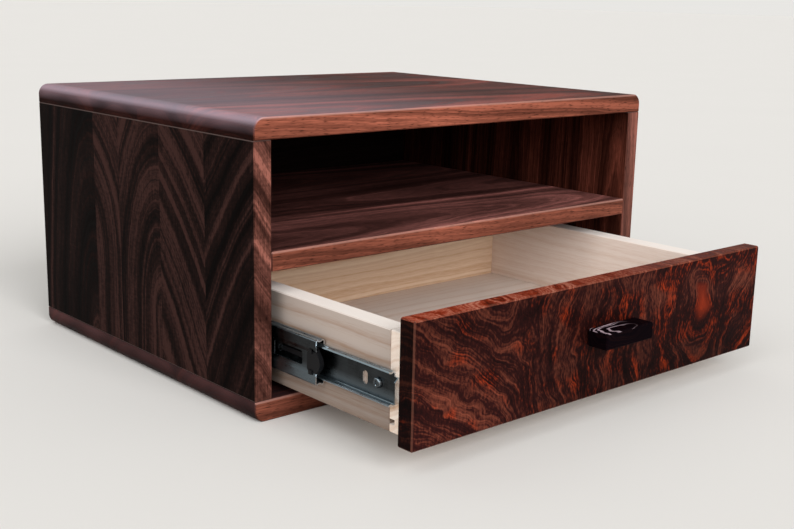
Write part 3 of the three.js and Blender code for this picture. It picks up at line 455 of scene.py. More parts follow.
def figured_walnut(name, node, figure):
    """Crotch-cut walnut, sanded fine and oiled.

    The fibres curl round buried branches, so short rust and black streaks sweep in arcs and swirls,
    with embers of orange where they turn their ends to the face.
    """
    material, tree, shader = new_finish(name, Specular_IOR_Level=0.02)
    place = board_place(tree, node, ACROSS)
    moved = place
    for size, reach, roughness in FIGURE_SHIFTS:
        noise = add(tree, "TexNoise", {
            "Vector": stretched(tree, place, size), "Scale": 1, "Detail": 2, "Roughness": roughness,
        }).outputs["Color"]
        moved = add(tree, "VectorMath", {0: noise, 1: reach, 2: moved}, operation="MULTIPLY_ADD")
    # The noises' mean shift is taken out again, so that each eye stays at its measured place.
    mean = sum((Vector(reach) for _, reach, _ in FIGURE_SHIFTS), Vector()) / 2
    moved = add(tree, "VectorMath", {0: moved, 1: mean}, operation="SUBTRACT")
    spot, rise, _ = add(tree, "SeparateXYZ", {0: place}).outputs
    sweep = None
    for start, stop, kind, values, offset in FIGURE_FIELDS:
        if kind == "EYE":
            x, z, squeeze = values
            flat = add(tree, "VectorMath", {0: moved, 1: (1, squeeze, 0)}, operation="MULTIPLY")
            eye = {0: flat, 1: (x, z * squeeze, 0)}
            field = add(tree, "VectorMath", eye, operation="DISTANCE").outputs["Value"]
        else:
            slope = {0: moved, 1: (*values, 0)}
            field = add(tree, "VectorMath", slope, operation="DOT_PRODUCT").outputs["Value"]
        field = add(tree, "Math", {0: field, 1: offset}, operation="ADD")
        if sweep is None:
            sweep = field
            continue
        turn = add(tree, "MapRange", {
            0: spot, "From Min": start, "From Max": stop,
        }, interpolation_type="SMOOTHSTEP")
        sweep = add(tree, "Mix", {"Factor": turn, 2: sweep, 3: field}, data_type="FLOAT")
    drop = add(tree, "SeparateXYZ", {0: moved}).outputs[1]
    lane = add(tree, "CombineXYZ", {0: sweep, 1: drop})
    broad, narrow, shadow = (
        add(tree, "TexNoise", {
            "Vector": stretched(tree, lane, size), "Scale": 1, "Detail": octaves, "Roughness": roughness,
        })
        for size, octaves, roughness in FIGURE_LAYERS
    )
    fleck = add(tree, "TexNoise", {
        "Vector": stretched(tree, place, FIGURE_FLECK), "Scale": 1, "Detail": 2, "Roughness": 0.6,
    })
    tone = add(tree, "Math", {0: broad, 1: 1.3}, operation="MULTIPLY")
    for layer, share in ((narrow, 1.35), (fleck, 1.1), (shadow, 0.9)):
        tone = add(tree, "Math", {0: layer, 1: share, 2: tone}, operation="MULTIPLY_ADD")
    level = add(tree, "MapRange", {0: tone, "From Min": 1.68, "From Max": 3.08})
    ground, body, flame = Vector(figure.ground), Vector(figure.body), Vector(figure.flame)
    warm = add(tree, "ValToRGB", {0: level}, stops=[
        (0.1, opaque(ground)), (0.5, opaque(body)),
        (0.74, opaque(flame * 0.45)), (1.0, opaque(flame * 1.1)),
    ])
    plain = add(tree, "ValToRGB", {0: level}, stops=[
        (0.05, opaque(ground * 1.7)), (0.4, opaque(body * 1.25)),
        (0.95, opaque(Vector(figure.pale) * 0.95)),
    ])
    cloud = add(tree, "TexNoise", {
        "Vector": stretched(tree, place, EMBER_CLOUD), "Scale": 1, "Detail": 1,
    })
    # The pale run-out lies at the lower left, the embers round the right-hand eye.
    rising = add(tree, "MapRange", {
        0: spot, "From Min": 0, "From Max": 330, "To Min": -0.11, "To Max": 0.07,
    })
    cloud = add(tree, "Math", {0: cloud, 1: rising}, operation="ADD")
    ember = add(tree, "MapRange", {0: cloud, "From Min": 0.42, "From Max": 0.6})
    colour = add(tree, "Mix", {"Factor": ember, 6: plain, 7: warm}, data_type="RGBA").outputs[2]
    # The one sound eye shows as a red orange heart.
    flat = add(tree, "VectorMath", {0: moved, 1: (1, HEART_SQUEEZE, 0)}, operation="MULTIPLY")
    core = {0: flat, 1: (RIGHT_EYE[0], RIGHT_EYE[1] * HEART_SQUEEZE, 0)}
    heart = add(tree, "VectorMath", core, operation="DISTANCE").outputs["Value"]
    start, stop = HEART_FADE
    heart = add(tree, "MapRange", {
        0: heart, "From Min": start, "From Max": stop, "To Min": 0.62, "To Max": 0,
    })
    eye = {"Factor": heart, 6: colour, 7: opaque(figure.eye)}
    colour = add(tree, "Mix", eye, data_type="RGBA").outputs[2]
    # The left end is end grain, which drinks more oil and goes nearly black.
    end = add(tree, "MapRange", {
        0: facing(tree, LEFTWARD), "From Min": 0.6, "From Max": 0.9, "To Min": 1, "To Max": 0.3,
    })
    # Painted light: the top edge faces the lamps and is painted lighter, fading from left to right.
    lit = add(tree, "MapRange", {0: facing(tree, UPWARD), "From Min": 0.5, "From Max": 0.9})
    edge = add(tree, "ValToRGB", {0: level}, stops=[
        (0.15, opaque(flame * 0.12)), (0.45, opaque(flame * 0.6)),
        (0.8, opaque(Vector(figure.arris_highlight) * 1.3)),
    ])
    fade = add(tree, "MapRange", {0: spot, "From Min": 0, "From Max": 400, "To Min": 1.2, "To Max": 0.45})
    edge = add(tree, "VectorMath", {0: edge, "Scale": fade}, operation="SCALE")
    # The face is palest at the lower left and the upper right, and darkest along the foot between them:
    # partly the figure's own tone, partly painted shade under the pull and where the light falls off.
    foot = add(tree, "MapRange", {
        0: spot, "From Min": 30, "From Max": 210, "To Min": 1.5, "To Max": 0.62,
    }, interpolation_type="SMOOTHSTEP")
    head = add(tree, "MapRange", {
        0: spot, "From Min": 180, "From Max": 290, "To Min": 0.98, "To Max": 1.36,
    }, interpolation_type="SMOOTHSTEP")
    rise = add(tree, "MapRange", {0: rise, "From Min": 8, "From Max": 86})
    figure_and_shade = add(tree, "Mix", {"Factor": rise, 2: foot, 3: head}, data_type="FLOAT")
    end = add(tree, "Math", {0: end, 1: figure_and_shade}, operation="MULTIPLY")
    colour = add(tree, "VectorMath", {0: colour, "Scale": end}, operation="SCALE")
    colour = add(tree, "Mix", {"Factor": lit, 6: colour, 7: edge}, data_type="RGBA").outputs[2]
    # Painted highlight: the eased corners, the only surfaces that face between the axes, are painted pale.
    normal = add(tree, "TexCoord").outputs["Normal"]
    bare = add(tree, "VectorMath", {0: normal}, operation="ABSOLUTE")
    sides = add(tree, "SeparateXYZ", {0: bare}).outputs
    largest = sides[0]
    for side in sides[1:]:
        largest = add(tree, "Math", {0: largest, 1: side}, operation="MAXIMUM")
    rubbed = add(tree, "MapRange", {
        0: largest, "From Min": 0.97, "From Max": 0.85, "To Min": 0, "To Max": 0.14,
    })
    arris_highlight = {"Factor": rubbed, 6: colour, 7: opaque(figure.arris_highlight)}
    colour = add(tree, "Mix", arris_highlight, data_type="RGBA").outputs[2]
    lay_finish(tree, shader, colour, narrow, FINE_OILED, fleck, strength=0.15, depth=0.2)
    return material


WENGE_BLACK = linear(0x080407)
WENGE_BROWN = linear(0x13080A)
WENGE_LINE = linear(0xAE99A2)
# Width of the wenge's pale lines, the place in the pull that they loop round, and the size and the reach
# of the waves in them, in millimetres
WENGE_RING = 1.7
WENGE_PITH = (12, 10, 22)
WENGE_WAVE = (26, 9, 9)
WENGE_SWAY = (9, 9, 9)
# Shares by which the loops are drawn out along the pull, and where along it they fade, in millimetres
WENGE_SQUEEZE = (0.42, 1, 1)
WENGE_FADE = (22, 44)


def oiled_wenge(name, node):
    """Wenge, shaped, sanded and oiled: near black with thin paler parenchyma lines in nested loops."""
    material, tree, shader = new_finish(name, Specular_IOR_Level=0.004)
    place = board_place(tree, node, LYING)
    sway = add(tree, "TexNoise", {
        "Vector": stretched(tree, place, WENGE_WAVE), "Scale": 1, "Detail": 2,
    }).outputs["Color"]
    moved = add(tree, "VectorMath", {0: sway, 1: WENGE_SWAY, 2: place}, operation="MULTIPLY_ADD")
    squeezed = add(tree, "VectorMath", {0: moved, 1: WENGE_SQUEEZE}, operation="MULTIPLY")
    loop = add(tree, "VectorMath", {0: squeezed, 1: WENGE_PITH}, operation="DISTANCE").outputs["Value"]
    line = add(tree, "TexNoise", {"W": loop, "Scale": 1 / WENGE_RING, "Detail": 1}, noise_dimensions="1D")
    level = add(tree, "MapRange", {0: line, "From Min": 0.47, "From Max": 0.6})
    # The pale lines show on the sanded top; oil hides them on the faces cut across the grain.
    shown = add(tree, "MapRange", {
        0: facing(tree, UPWARD), "From Min": 0.3, "From Max": 0.9, "To Min": 0.3, "To Max": 1,
    })
    spot = add(tree, "SeparateXYZ", {0: place})
    start, stop = WENGE_FADE
    fading = add(tree, "MapRange", {
        0: spot, "From Min": start, "From Max": stop, "To Min": 1, "To Max": 0.35,
    })
    for part in (shown, fading):
        level = add(tree, "Math", {0: level, 1: part}, operation="MULTIPLY")
    colour = add(tree, "ValToRGB", {0: level}, stops=[
        (0.0, opaque(WENGE_BLACK)), (0.4, opaque(WENGE_BROWN)), (1.0, opaque(WENGE_LINE)),
    ])
    lay_finish(tree, shader, colour, line, OILED_WENGE)
    return material


# Widening of a maple board's rings along it; their width, the size and the reach of the waves in them,
# and the size of a fleck, in millimetres
MAPLE_SLOPE = 0.02
MAPLE_RING = 7
MAPLE_WAVE = (160, 34, 34)
MAPLE_SWAY = 9
MAPLE_FLECK = (14, 0.9, 0.9)


def bare_maple(
    name, node, axes, box, pith=(-60, 30), lower_tone=0.16, tint=(1, 1, 1), lines=1.0, foot=1.0, rim=1.0,
):
    """Hard maple, planed and sanded, left pale: faint tan growth lines and fine flecks, few pores."""
    material, tree, shader = new_finish(name, Specular_IOR_Level=0.3)
    place = board_place(tree, node, axes)
    parts = add(tree, "SeparateXYZ", {0: place}).outputs
    beside = add(tree, "Math", {0: parts[1], 1: pith[0]}, operation="SUBTRACT")
    taper = add(tree, "Math", {0: parts[0], 1: MAPLE_SLOPE, 2: pith[1]}, operation="MULTIPLY_ADD")
    below = add(tree, "Math", {0: taper, 1: parts[2]}, operation="ADD")
    reach = add(tree, "CombineXYZ", {0: beside, 1: below})
    radius = add(tree, "VectorMath", {0: reach}, operation="LENGTH").outputs["Value"]
    sway = add(tree, "TexNoise", {"Vector": stretched(tree, place, MAPLE_WAVE), "Scale": 1, "Detail": 2})
    ring = add(tree, "Math", {0: sway, 1: MAPLE_SWAY, 2: radius}, operation="MULTIPLY_ADD")
    line = add(tree, "TexNoise", {
        "W": ring, "Scale": 1 / MAPLE_RING, "Detail": 3, "Roughness": 0.6,
    }, noise_dimensions="1D")
    fleck = add(tree, "TexNoise", {
        "Vector": stretched(tree, place, MAPLE_FLECK), "Scale": 1, "Detail": 2, "Roughness": 0.6,
    })
    calm = add(tree, "MapRange", {0: line, "To Min": 0.5 - lines / 2, "To Max": 0.5 + lines / 2})
    tone = add(tree, "Math", {0: fleck, 1: 0.35, 2: calm}, operation="MULTIPLY_ADD")
    # The board darkens and browns towards its lower edge.
    height = (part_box(node)[1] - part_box(node)[0])[axes[1]] / MM
    heart = add(tree, "MapRange", {
        0: parts[1], "From Min": height * 0.2, "From Max": height * 0.9, "To Min": lower_tone, "To Max": 0,
    })
    tone = add(tree, "Math", {0: tone, 1: heart}, operation="ADD")
    level = add(tree, "MapRange", {0: tone, "From Min": 0.5, "From Max": 1.2})
    pale, dark = Vector(box.maple), Vector(box.grain)
    own = [Vector(a * b for a, b in zip(part, tint)) for part in (pale, pale.lerp(dark, 0.4), dark)]
    colour = add(tree, "ValToRGB", {0: level}, stops=[
        (0.2, opaque(own[0])), (0.6, opaque(own[1])), (1.0, opaque(own[2])),
    ])
    # Painted shade darkens the board towards its lower edge, down to the share foot.
    shade = add(tree, "MapRange", {
        0: parts[1], "From Min": 0, "From Max": height * 0.75, "To Min": foot, "To Max": 1,
    })
    colour = add(tree, "VectorMath", {0: colour, "Scale": shade}, operation="SCALE")
    # Painted light: faces that look up, such as the rims, are painted palest, where the light from above
    # falls on them.
    rim_highlight = pale.lerp(Vector((1, 1, 1)), 0.45)
    painted_rim_light = add(tree, "MapRange", {
        0: facing(tree, UPWARD), "From Min": 0.5, "From Max": 0.9, "To Min": 0, "To Max": rim,
    })
    colour = add(
        tree, "Mix", {"Factor": painted_rim_light, 6: colour, 7: opaque(rim_highlight)}, data_type="RGBA",
    ).outputs[2]
    lay_finish(tree, shader, colour, fleck, SANDED, fleck, strength=0.05, depth=0.1)
    return material


SHEARED_STEEL = linear(0xD6DADD)
# Sizes in millimetres: drawing scratches across and along the strip, clouds of plating, and the rounded
# edge of a race. Scratches are drawn as wide as they need to be to show.
DRAWN_SCRATCH = (0.6, 45, 0.6)
PLATE_CLOUD = 9
RACE_EDGE = 0.6
# Heights from the slide's centre where the reflection of pale surroundings starts and is full
CAST_START = -2 * MM
CAST_FULL = -10.5 * MM


def zinc_plated_steel(name, hardware, grade=1.0, roughness=0.3, lip=1.0):
    """Cold-rolled steel strip, roll-formed and zinc plated.

    It is drawn along its length by the rolls, burnished where balls run, and bright at its cut ends.
    The lip is the height above the slide's centre where its races begin, if it shows any.
    """
    material, tree, shader = new_finish(name, Metallic=1.0)
    spot = add(tree, "TexCoord").outputs["Object"]
    counts = tuple(1 / (size * MM) for size in DRAWN_SCRATCH)
    drawn = add(tree, "VectorMath", {0: spot, 1: counts}, operation="MULTIPLY")
    scratch = add(tree, "TexNoise", {"Vector": drawn, "Scale": 1, "Detail": 2})
    cloud = add(tree, "TexNoise", {"Vector": spot, "Scale": 1 / (PLATE_CLOUD * MM), "Detail": 2})
    tone = add(tree, "Math", {0: scratch, 1: 0.5, 2: cloud}, operation="MULTIPLY_ADD")
    level = add(tree, "MapRange", {0: tone, "From Min": 0.5, "From Max": 1.0})
    plate = Vector(hardware.steel) * grade
    colour = add(tree, "ValToRGB", {0: level}, stops=[
        (0.0, opaque(plate * 0.6)), (1.0, opaque(plate * 1.3)),
    ])
    # Painted reflection: folds that face up are painted pale as if mirroring the light above; the races,
    # where the balls run, are burnished pale.
    burnish_and_reflection = add(tree, "MapRange", {0: facing(tree, UPWARD), "From Min": 0.25, "From Max": 0.8})
    low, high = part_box("left_case_member")
    height = add(tree, "SeparateXYZ", {0: spot}).outputs[2]
    offset = add(tree, "Math", {0: height, 1: (low.z + high.z) / 2}, operation="SUBTRACT")
    distance = add(tree, "Math", {0: offset}, operation="ABSOLUTE")
    groove = add(tree, "MapRange", {
        0: distance, "From Min": lip - RACE_EDGE * MM, "From Max": lip, "To Min": 0, "To Max": 0.75,
    })
    burnish_and_reflection = add(tree, "Math", {0: burnish_and_reflection, 1: groove}, operation="MAXIMUM")
    # The lower half of a web mirrors the pale surroundings of the open drawer.
    cast = add(tree, "MapRange", {
        0: offset, "From Min": CAST_START, "From Max": CAST_FULL, "To Min": 0, "To Max": 0.25,
    })
    burnish_and_reflection = add(tree, "Math", {0: burnish_and_reflection, 1: cast}, operation="MAXIMUM")
    colour = add(
        tree, "Mix", {"Factor": burnish_and_reflection, 6: colour, 7: opaque(hardware.race_and_reflection)}, data_type="RGBA",
    ).outputs[2]
    sheared = add(tree, "MapRange", {0: facing(tree, FORWARD), "From Min": 0.8, "From Max": 0.98})
    colour = add(
        tree, "Mix", {"Factor": sheared, 6: colour, 7: opaque(SHEARED_STEEL)}, data_type="RGBA",
    ).outputs[2]
    dull = (roughness - 0.08, roughness + 0.1)
    lay_finish(tree, shader, colour, tone, dull, scratch, strength=0.08, depth=0.1, span=(0.5, 1.0))
    return material


# Grain of the mould's spark texture in millimetres, a little coarser than the real one so that it shows
SPARK_GRIT = 0.5


def moulded_acetal(name, hardware):
    """Acetal, injection moulded against a fine spark texture: satin black with a soft broken sheen."""
    material, tree, shader = new_finish(name, IOR=1.48, Specular_IOR_Level=0.12)
    spot = add(tree, "TexCoord").outputs["Object"]
    grit = add(tree, "TexNoise", {"Vector": spot, "Scale": 1 / (SPARK_GRIT * MM), "Detail": 2})
    plastic = Vector(hardware.plastic)
    colour = add(tree, "ValToRGB", {0: grit}, stops=[
        (0.3, opaque(plastic * 0.8)), (0.7, opaque(plastic * 1.3)),
    ])
    lay_finish(tree, shader, colour, grit, SATIN, grit, strength=0.1, depth=0.1)
    return material


def dress(node, material):
    """Gives a CAD node its finish."""
    piece = NODES[node]
    piece.data.materials.clear()
    piece.data.materials.append(material)


# Strips of each board: start across it, pith across it, depth of the pith under the face, its slope along
# the board and the strip's tone. Lengths are in millimetres.
LEFT_STRIPS = [
    (0, -200, 150, 0.7, 0.36), (68, 600, 270, 1.0, 0.72), (138, 139, -16, 0.435, 0.6),
    (207, 300, -54, 0.744, 0.66), (253, 258, 12, 0.25, 0.22),
]
RIGHT_STRIPS = [
    (0, 10, 30, 0.03, 0.66), (74, 160, 40, -0.02, 0.6), (150, 130, 30, 0.02, 0.52),
    (232, 300, 50, -0.03, 0.44), (300, 290, 40, 0.02, 0.5),
]
TOP_STRIPS = [
    (0, 30, 60, 0.05, 0.7), (92, 150, 46, -0.04, 0.6), (172, 210, 50, 0.06, 0.5),
    (250, 300, 34, -0.05, 0.55), (312, 330, 60, 0.03, 0.46),
]
BOTTOM_STRIPS = [(0, 40, 50, 0.05, 0.58), (118, 170, 60, -0.05, 0.5), (236, 280, 50, 0.04, 0.56)]
SHELF_STRIPS = [(0, 40, 44, 0.05, 0.58), (104, 150, 50, -0.04, 0.52), (214, 260, 46, 0.05, 0.48)]
BACK_STRIPS = [(0, 40, 60, 0.05, 0.4), (76, 100, 50, -0.05, 0.4), (150, 190, 60, 0.04, 0.38)]
CLEAT_STRIPS = [(0, 20, 40, 0.04, 0.5), (59, 60, 40, 0, 0.5)]


class NIGHTSTAND_OT_finish_case(Operator):
    """Oiled walnut on the case boards, the shelf, the back and the hanging cleat"""

    bl_idname = "nightstand.finish_case"
    bl_label = "Finish Case"

    def execute(self, context):
        wood = context.scene.nightstand_walnut
        # The base is a shaded copy of the top: painted shade takes its colours down to seven tenths, with
        # a faint painted sheen.
        base, base_painted_sheen = Vector(wood.top) * 0.7, Vector(wood.sheen) * 0.12
        # Painted light: the shelf's front edge is made lighter than the other front edges.
        shelf_edge = Vector(wood.front_edge) * 1.18
        boards = (
            ("top", "top_panel", LYING, TOP_STRIPS, (wood.top, wood.front_edge),
             {"gloss": 0.012, "sheen": wood.sheen, "nose_highlight": wood.nose_highlight}),
            ("base", "bottom_panel", LYING, BOTTOM_STRIPS, (base, wood.front_edge),
             {"sheen": base_painted_sheen, "nose_highlight": wood.nose_highlight}),
            ("left side", "left_side_panel", UPRIGHT, LEFT_STRIPS, (wood.left_side, wood.side_edge),
             {"curl": 0.5, "gloss": 0.012, "spread": 0.5, "arris_highlight": wood.arris_highlight}),
            ("right side", "right_side_panel", UPRIGHT, RIGHT_STRIPS, (wood.right_side, wood.side_edge),
             {"arris_highlight": wood.arris_highlight}),
            ("shelf", "middle_shelf", LYING, SHELF_STRIPS, (wood.shelf, shelf_edge), {"nose_highlight": wood.nose_highlight}),
            ("back", "back_panel", ACROSS, BACK_STRIPS, (wood.back, wood.back), {}),
            ("cleat", "hanging_cleat", ACROSS, CLEAT_STRIPS, (wood.back, wood.back), {}),
        )
        for name, node, axes, strips, tones, options in boards:
            dress(node, oiled_walnut(f"Oiled walnut {name}", node, axes, strips, tones, **options))
        return {"FINISHED"}


class NIGHTSTAND_OT_finish_drawer(Operator):
    """Figured walnut on the drawer face, wenge on the pull and bare maple on the box"""

    bl_idname = "nightstand.finish_drawer"
    bl_label = "Finish Drawer"

    def execute(self, context):
        scene = context.scene
        figured = figured_walnut("Figured walnut face", "drawer_face", scene.nightstand_figure)
        dress("drawer_face", figured)
        dress("drawer_pull", oiled_wenge("Oiled wenge pull", "drawer_pull"))
        boards = (
            ("Maple box front", "drawer_box_front", ACROSS, {}),
            ("Maple box back", "drawer_box_back", ACROSS,
             {"pith": (90, 30), "lower_tone": 0.3, "tint": (0.92, 0.84, 0.72)}),
            # The left side is a shaded copy of the maple: painted shade nearly halves its colours and
            # darkens its foot. The right side is a lit copy, painted lighter with fainter lines.
            ("Maple box left side", "drawer_box_left_side", BACKWARD,
             {"pith": (-30, 40), "lower_tone": 0.24, "tint": (0.5, 0.485, 0.49), "foot": 0.58}),
            ("Maple box right side", "drawer_box_right_side", BACKWARD,
             {"pith": (100, 24), "lower_tone": 0.06, "tint": (1.02, 1.04, 1.08), "lines": 0.5}),
            ("Maple-faced plywood", "drawer_bottom", LYING,
             {"pith": (150, 60), "lower_tone": -0.1, "tint": (0.9, 0.92, 0.95), "lines": 0.6, "rim": 0}),
        )
        for name, node, axes, options in boards:
            dress(node, bare_maple(name, node, axes, scene.nightstand_box, **options))
        return {"FINISHED"}


# Height above the slide's centre where the drawer member's races begin
RACE_LIP = 11.6 * MM


class NIGHTSTAND_OT_finish_slides(Operator):
    """Zinc plated steel and black acetal on the two telescopic slides"""

    bl_idname = "nightstand.finish_slides"
    bl_label = "Finish Slides"

    def execute(self, context):
        hardware = context.scene.nightstand_hardware
        sheet = zinc_plated_steel("Zinc plated slide", hardware)
        inner = zinc_plated_steel("Zinc plated drawer member", hardware, lip=RACE_LIP)
        acetal = moulded_acetal("Moulded black acetal", hardware)
        for node in NODES:
            if node.endswith("_drawer_member"):
                dress(node, inner)
            elif node.endswith(("_member", "_cage")):
                dress(node, sheet)
            elif node.endswith(("_bumper", "_buffer", "_lever")):
                dress(node, acetal)
        return {"FINISHED"}


# Corners of a screw's ring, and rings in one turn of its thread
SCREW_SIDES = 24
THREAD_STEPS = 6
# Pitch, radius over and under the thread, and length of the point, in millimetres
THREAD_PITCH = 1.8
SHANK = 1.85
CORE = 1.35
TIP = 3
# Steepness of the thread's flanks: each ridge covers 2 / 3.2 of its pitch
THREAD_FLANK = 3.2
# Radius and depth below the crown, in millimetres, from the rim of the recess to under the head
PAN_HEAD = ((2.6, 0), (3.3, 0.25), (3.8, 0.8), (3.95, 1.5), (3.95, 2.45), (3.8, 2.6), (SHANK, 2.6))
FLAT_HEAD = ((3.7, 0), (3.9, 0.08), (3.9, 0.25), (SHANK, 2.3))
# Reach of the cross, half the width of its arms, its depth, and the shares of both left at its floor
CROSS = (2.15, 0.5, 1.4)
CROSS_FLOOR = (0.35, 0.6)
# Folds sharper than this many degrees stay crisp
CRISP_FOLD = 35


def cross_at(depth, reach, half):
    """Outline of a cross-shaped punch at one depth, in millimetres."""
    outline = []
    for quarter in range(4):
        turn = Matrix.Rotation(math.radians(90 * quarter), 3, "Z")
        corners = ((reach, -half), (reach, half), (half, half))
        outline += [turn @ Vector((x, y, depth)) for x, y in corners]
    return outline


def screw_rings(head, length):
    """Rings of one screw from the rim of its crown to the start of its point."""
    rings = []
    angles = [math.tau * side / SCREW_SIDES for side in range(SCREW_SIDES)]
    for radius, depth in head:
        rings.append([Vector((radius * math.cos(a), radius * math.sin(a), depth)) for a in angles])
    depth = head[-1][1] + THREAD_PITCH / 2
    step = THREAD_PITCH / THREAD_STEPS
    while depth < length - step:
        taper = min(1, (length - depth) / TIP)
        ring = []
        for a in angles:
            phase = (depth / THREAD_PITCH - a / math.tau) % 1
            ridge = max(0, 1 - abs(phase - 0.5) * THREAD_FLANK)
            radius = (CORE + (SHANK - CORE) * ridge) * taper
            ring.append(Vector((radius * math.cos(a), radius * math.sin(a), depth)))
        rings.append(ring)
        depth += step
    return rings


def cross_recess_screw(node, head, inward):
    """A wood screw in place of a CAD node, with its crown at the node's outer end."""
    low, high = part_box(node)
    inward = Vector(inward)
    length = abs((high - low).dot(inward)) / MM
    start = (low + high) / 2 - inward * length * MM / 2
    shape = bmesh.new()
    rings = [[shape.verts.new(spot) for spot in ring] for ring in screw_rings(head, length)]
    for upper, lower in zip(rings, rings[1:]):
        for side in range(SCREW_SIDES):
            after = (side + 1) % SCREW_SIDES
            shape.faces.new((upper[side], upper[after], lower[after], lower[side]))
    point = shape.verts.new((0, 0, length))
    for side in range(SCREW_SIDES):
        shape.faces.new((rings[-1][side], rings[-1][(side + 1) % SCREW_SIDES], point))
    reach, half, depth = CROSS
    rim = [shape.verts.new(spot) for spot in cross_at(0, reach, half)]
    floor_outline = cross_at(depth, reach * CROSS_FLOOR[0], half * CROSS_FLOOR[1])
    floor = [shape.verts.new(spot) for spot in floor_outline]
    for side in range(len(rim)):
        after = (side + 1) % len(rim)
        shape.faces.new((rim[side], rim[after], floor[after], floor[side]))
    shape.faces.new(floor)
    crown = [edge for edge in shape.edges if edge.is_boundary]
    bmesh.ops.triangle_fill(shape, use_beauty=True, edges=crown)
    bmesh.ops.recalc_face_normals(shape, faces=shape.faces)
    turn = Vector((0, 0, 1)).rotation_difference(inward).to_matrix().to_4x4()
    shape.transform(Matrix.Translation(start) @ turn @ Matrix.Scale(MM, 4))
    mesh = bpy.data.meshes.new(f"{node}_threaded")
    shape.to_mesh(mesh)
    shape.free()
    mesh.shade_smooth()
    mesh.set_sharp_from_angle(angle=math.radians(CRISP_FOLD))
    screw = bpy.data.objects.new(mesh.name, mesh)
    bpy.context.scene.collection.objects.link(screw)
    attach(screw, "case" if "case" in node or "cleat" in node else "drawer")
    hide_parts(node)
    return screw


class NIGHTSTAND_OT_add_screws(Operator):
    """Threaded screws with punched cross recesses in place of the plain CAD screws"""

    bl_idname = "nightstand.add_screws"
    bl_label = "Add Screws"

    def execute(self, context):
        hardware = context.scene.nightstand_hardware
        finish = zinc_plated_steel("Bright zinc screw", hardware, grade=2.2, roughness=0.24)
        ways = {
            "left_case": LEFTWARD, "right_case": RIGHTWARD,
            "left_drawer": RIGHTWARD, "right_drawer": LEFTWARD,
        }
        for node in [name for name in NODES if "_screw_" in name]:
            head = FLAT_HEAD if "case" in node or "cleat" in node else PAN_HEAD
            inward = next((way for side, way in ways.items() if node.startswith(side)), FORWARD)
            cross_recess_screw(node, head, inward).data.materials.append(finish)
        return {"FINISHED"}


# Half the floor's width in metres, and its faint clouds of tone in each metre
FLOOR_HALF = 30
FLOOR_CLOUDS = 3
# Direction towards each lamp, and its width in the sky in degrees
KEY_WAY, KEY_SPREAD = (-0.1, -0.88, 0.46), 38
FILL_WAY, FILL_SPREAD = (-0.75, -0.35, 0.55), 60
ROOM_TINT = (1, 0.985, 0.952)
SENSOR_WIDTH = 36
NEAR_CLIP = 0.01
# Place in metres and angles in degrees, solved from the edges of the case and the drawer
CAMERA_PLACE = (-0.72228, -1.07812, 0.13661)
CAMERA_YAW = 41.61
CAMERA_PITCH = 12.905
CAMERA_ROLL = 1.257


def camera_turn():
    """Rotation of the camera from its yaw to the right, pitch down and roll, in degrees."""
    yaw, pitch, roll = (math.radians(v) for v in (CAMERA_YAW, CAMERA_PITCH, CAMERA_ROLL))
    ahead = Vector((math.sin(yaw) * math.cos(pitch), math.cos(yaw) * math.cos(pitch), -math.sin(pitch)))
    level = Vector((math.cos(yaw), -math.sin(yaw), 0))
    upright = level.cross(ahead)
    right = level * math.cos(roll) + upright * math.sin(roll)
    up = upright * math.cos(roll) - level * math.sin(roll)
    return Matrix((right, up, -ahead)).transposed().to_4x4()


def soft_sun(name, toward, strength, angle):
    """A lamp as wide in the sky as a large soft box, so that it lights floor and object evenly."""
    lamp = bpy.data.lights.new(name, "SUN")
    lamp.energy = strength
    lamp.angle = math.radians(angle)
    lit = bpy.data.objects.new(name, lamp)
    lit.rotation_euler = Vector(toward).to_track_quat("Z", "Y").to_euler()
    bpy.context.scene.collection.objects.link(lit)


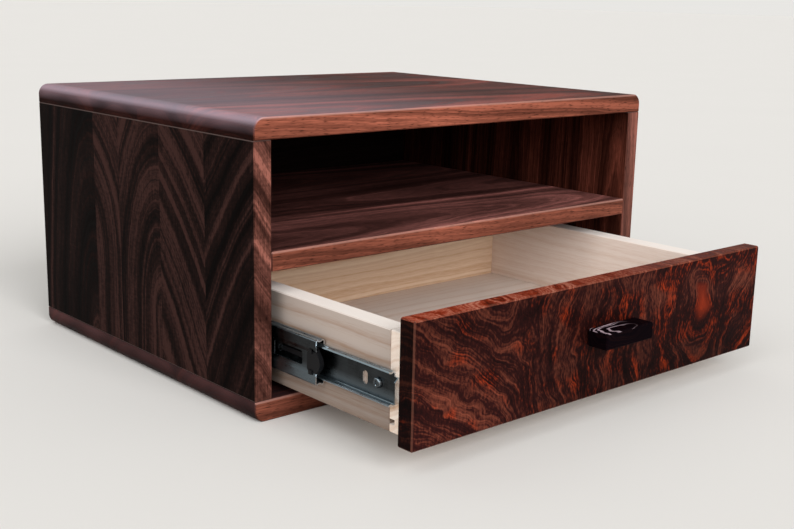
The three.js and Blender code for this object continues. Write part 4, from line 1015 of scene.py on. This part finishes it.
class NIGHTSTAND_OT_add_stage(Operator):
    """Plain pale floor, soft studio light and the camera"""

    bl_idname = "nightstand.add_stage"
    bl_label = "Add Stage"

    def execute(self, context):
        scene = context.scene
        stage = scene.nightstand_stage
        low, _ = CAD_BOUNDS

        mesh = bpy.data.meshes.new("studio_floor")
        ground = bmesh.new()
        bmesh.ops.create_grid(ground, x_segments=1, y_segments=1, size=FLOOR_HALF)
        ground.to_mesh(mesh)
        ground.free()
        floor = bpy.data.objects.new("studio_floor", mesh)
        floor.location = (0, 0, low.z)
        scene.collection.objects.link(floor)
        material, tree, shader = new_finish("Matt painted floor", Roughness=0.8, Specular_IOR_Level=0.1)
        spot = add(tree, "TexCoord").outputs["Object"]
        cloud = add(tree, "TexNoise", {"Vector": spot, "Scale": FLOOR_CLOUDS, "Detail": 2})
        paint = Vector(stage.floor)
        colour = add(tree, "ValToRGB", {0: cloud}, stops=[
            (0.0, opaque(paint * 0.98)), (1.0, opaque(paint)),
        ])
        feed(tree, shader.inputs["Base Color"], colour)
        mesh.materials.append(material)

        soft_sun("Key lamp", KEY_WAY, stage.key, KEY_SPREAD)
        soft_sun("Fill lamp", FILL_WAY, stage.fill, FILL_SPREAD)

        world = bpy.data.worlds.new("Studio room")
        world.use_nodes = True
        tree = world.node_tree
        tree.nodes.clear()
        ray = add(tree, "LightPath").outputs
        seen = add(tree, "Math", {0: ray["Is Camera Ray"], 1: ray["Is Glossy Ray"]}, operation="MAXIMUM")
        seen = add(tree, "Math", {0: seen, 1: ray["Is Transmission Ray"]}, operation="MAXIMUM")
        strength = add(tree, "MapRange", {0: seen, "To Min": stage.room, "To Max": stage.backdrop})
        light = add(tree, "Background", {"Strength": strength, "Color": opaque(ROOM_TINT)})
        add(tree, "OutputWorld", {"Surface": light})
        scene.world = world
        scene.view_settings.view_transform = "Standard"

        lens = bpy.data.cameras.new("Studio camera")
        lens.lens = stage.lens
        lens.sensor_width = SENSOR_WIDTH
        lens.clip_start = NEAR_CLIP
        camera = bpy.data.objects.new("Studio camera", lens)
        camera.matrix_world = Matrix.Translation(CAMERA_PLACE) @ camera_turn()
        scene.collection.objects.link(camera)
        scene.camera = camera
        return {"FINISHED"}


class NIGHTSTAND_PT_sidebar(Panel):
    """Lists the finishes, the pieces and the stage"""

    bl_label = "Nightstand"
    bl_idname = "NIGHTSTAND_PT_sidebar"
    bl_space_type = "VIEW_3D"
    bl_region_type = "UI"
    bl_category = "Nightstand"

    def draw(self, context):
        layout = self.layout
        for group, names in PANEL_ROWS:
            column = layout.column(align=True)
            for name in names:
                column.prop(getattr(context.scene, group), name)
        for operator in OPERATORS:
            layout.operator(operator.bl_idname)


SETTINGS = {
    "nightstand_walnut": WalnutSettings,
    "nightstand_figure": FigureSettings,
    "nightstand_box": BoxSettings,
    "nightstand_hardware": HardwareSettings,
    "nightstand_stage": StageSettings,
}
PANEL_ROWS = [(name, tuple(group.__annotations__)) for name, group in SETTINGS.items()]
OPERATORS = (
    NIGHTSTAND_OT_finish_case,
    NIGHTSTAND_OT_finish_drawer,
    NIGHTSTAND_OT_finish_slides,
    NIGHTSTAND_OT_add_screws,
    NIGHTSTAND_OT_add_stage,
)
CLASSES = (*SETTINGS.values(), *OPERATORS, NIGHTSTAND_PT_sidebar)


def register():
    for item in CLASSES:
        bpy.utils.register_class(item)
    for name, group in SETTINGS.items():
        setattr(bpy.types.Scene, name, PointerProperty(type=group))


def unregister():
    for name in SETTINGS:
        delattr(bpy.types.Scene, name)
    for item in reversed(CLASSES):
        bpy.utils.unregister_class(item)


def main():
    register()
    bpy.ops.nightstand.finish_case()
    bpy.ops.nightstand.finish_drawer()
    bpy.ops.nightstand.finish_slides()
    bpy.ops.nightstand.add_screws()
    bpy.ops.nightstand.add_stage()


if __name__ == "__main__":
    main()
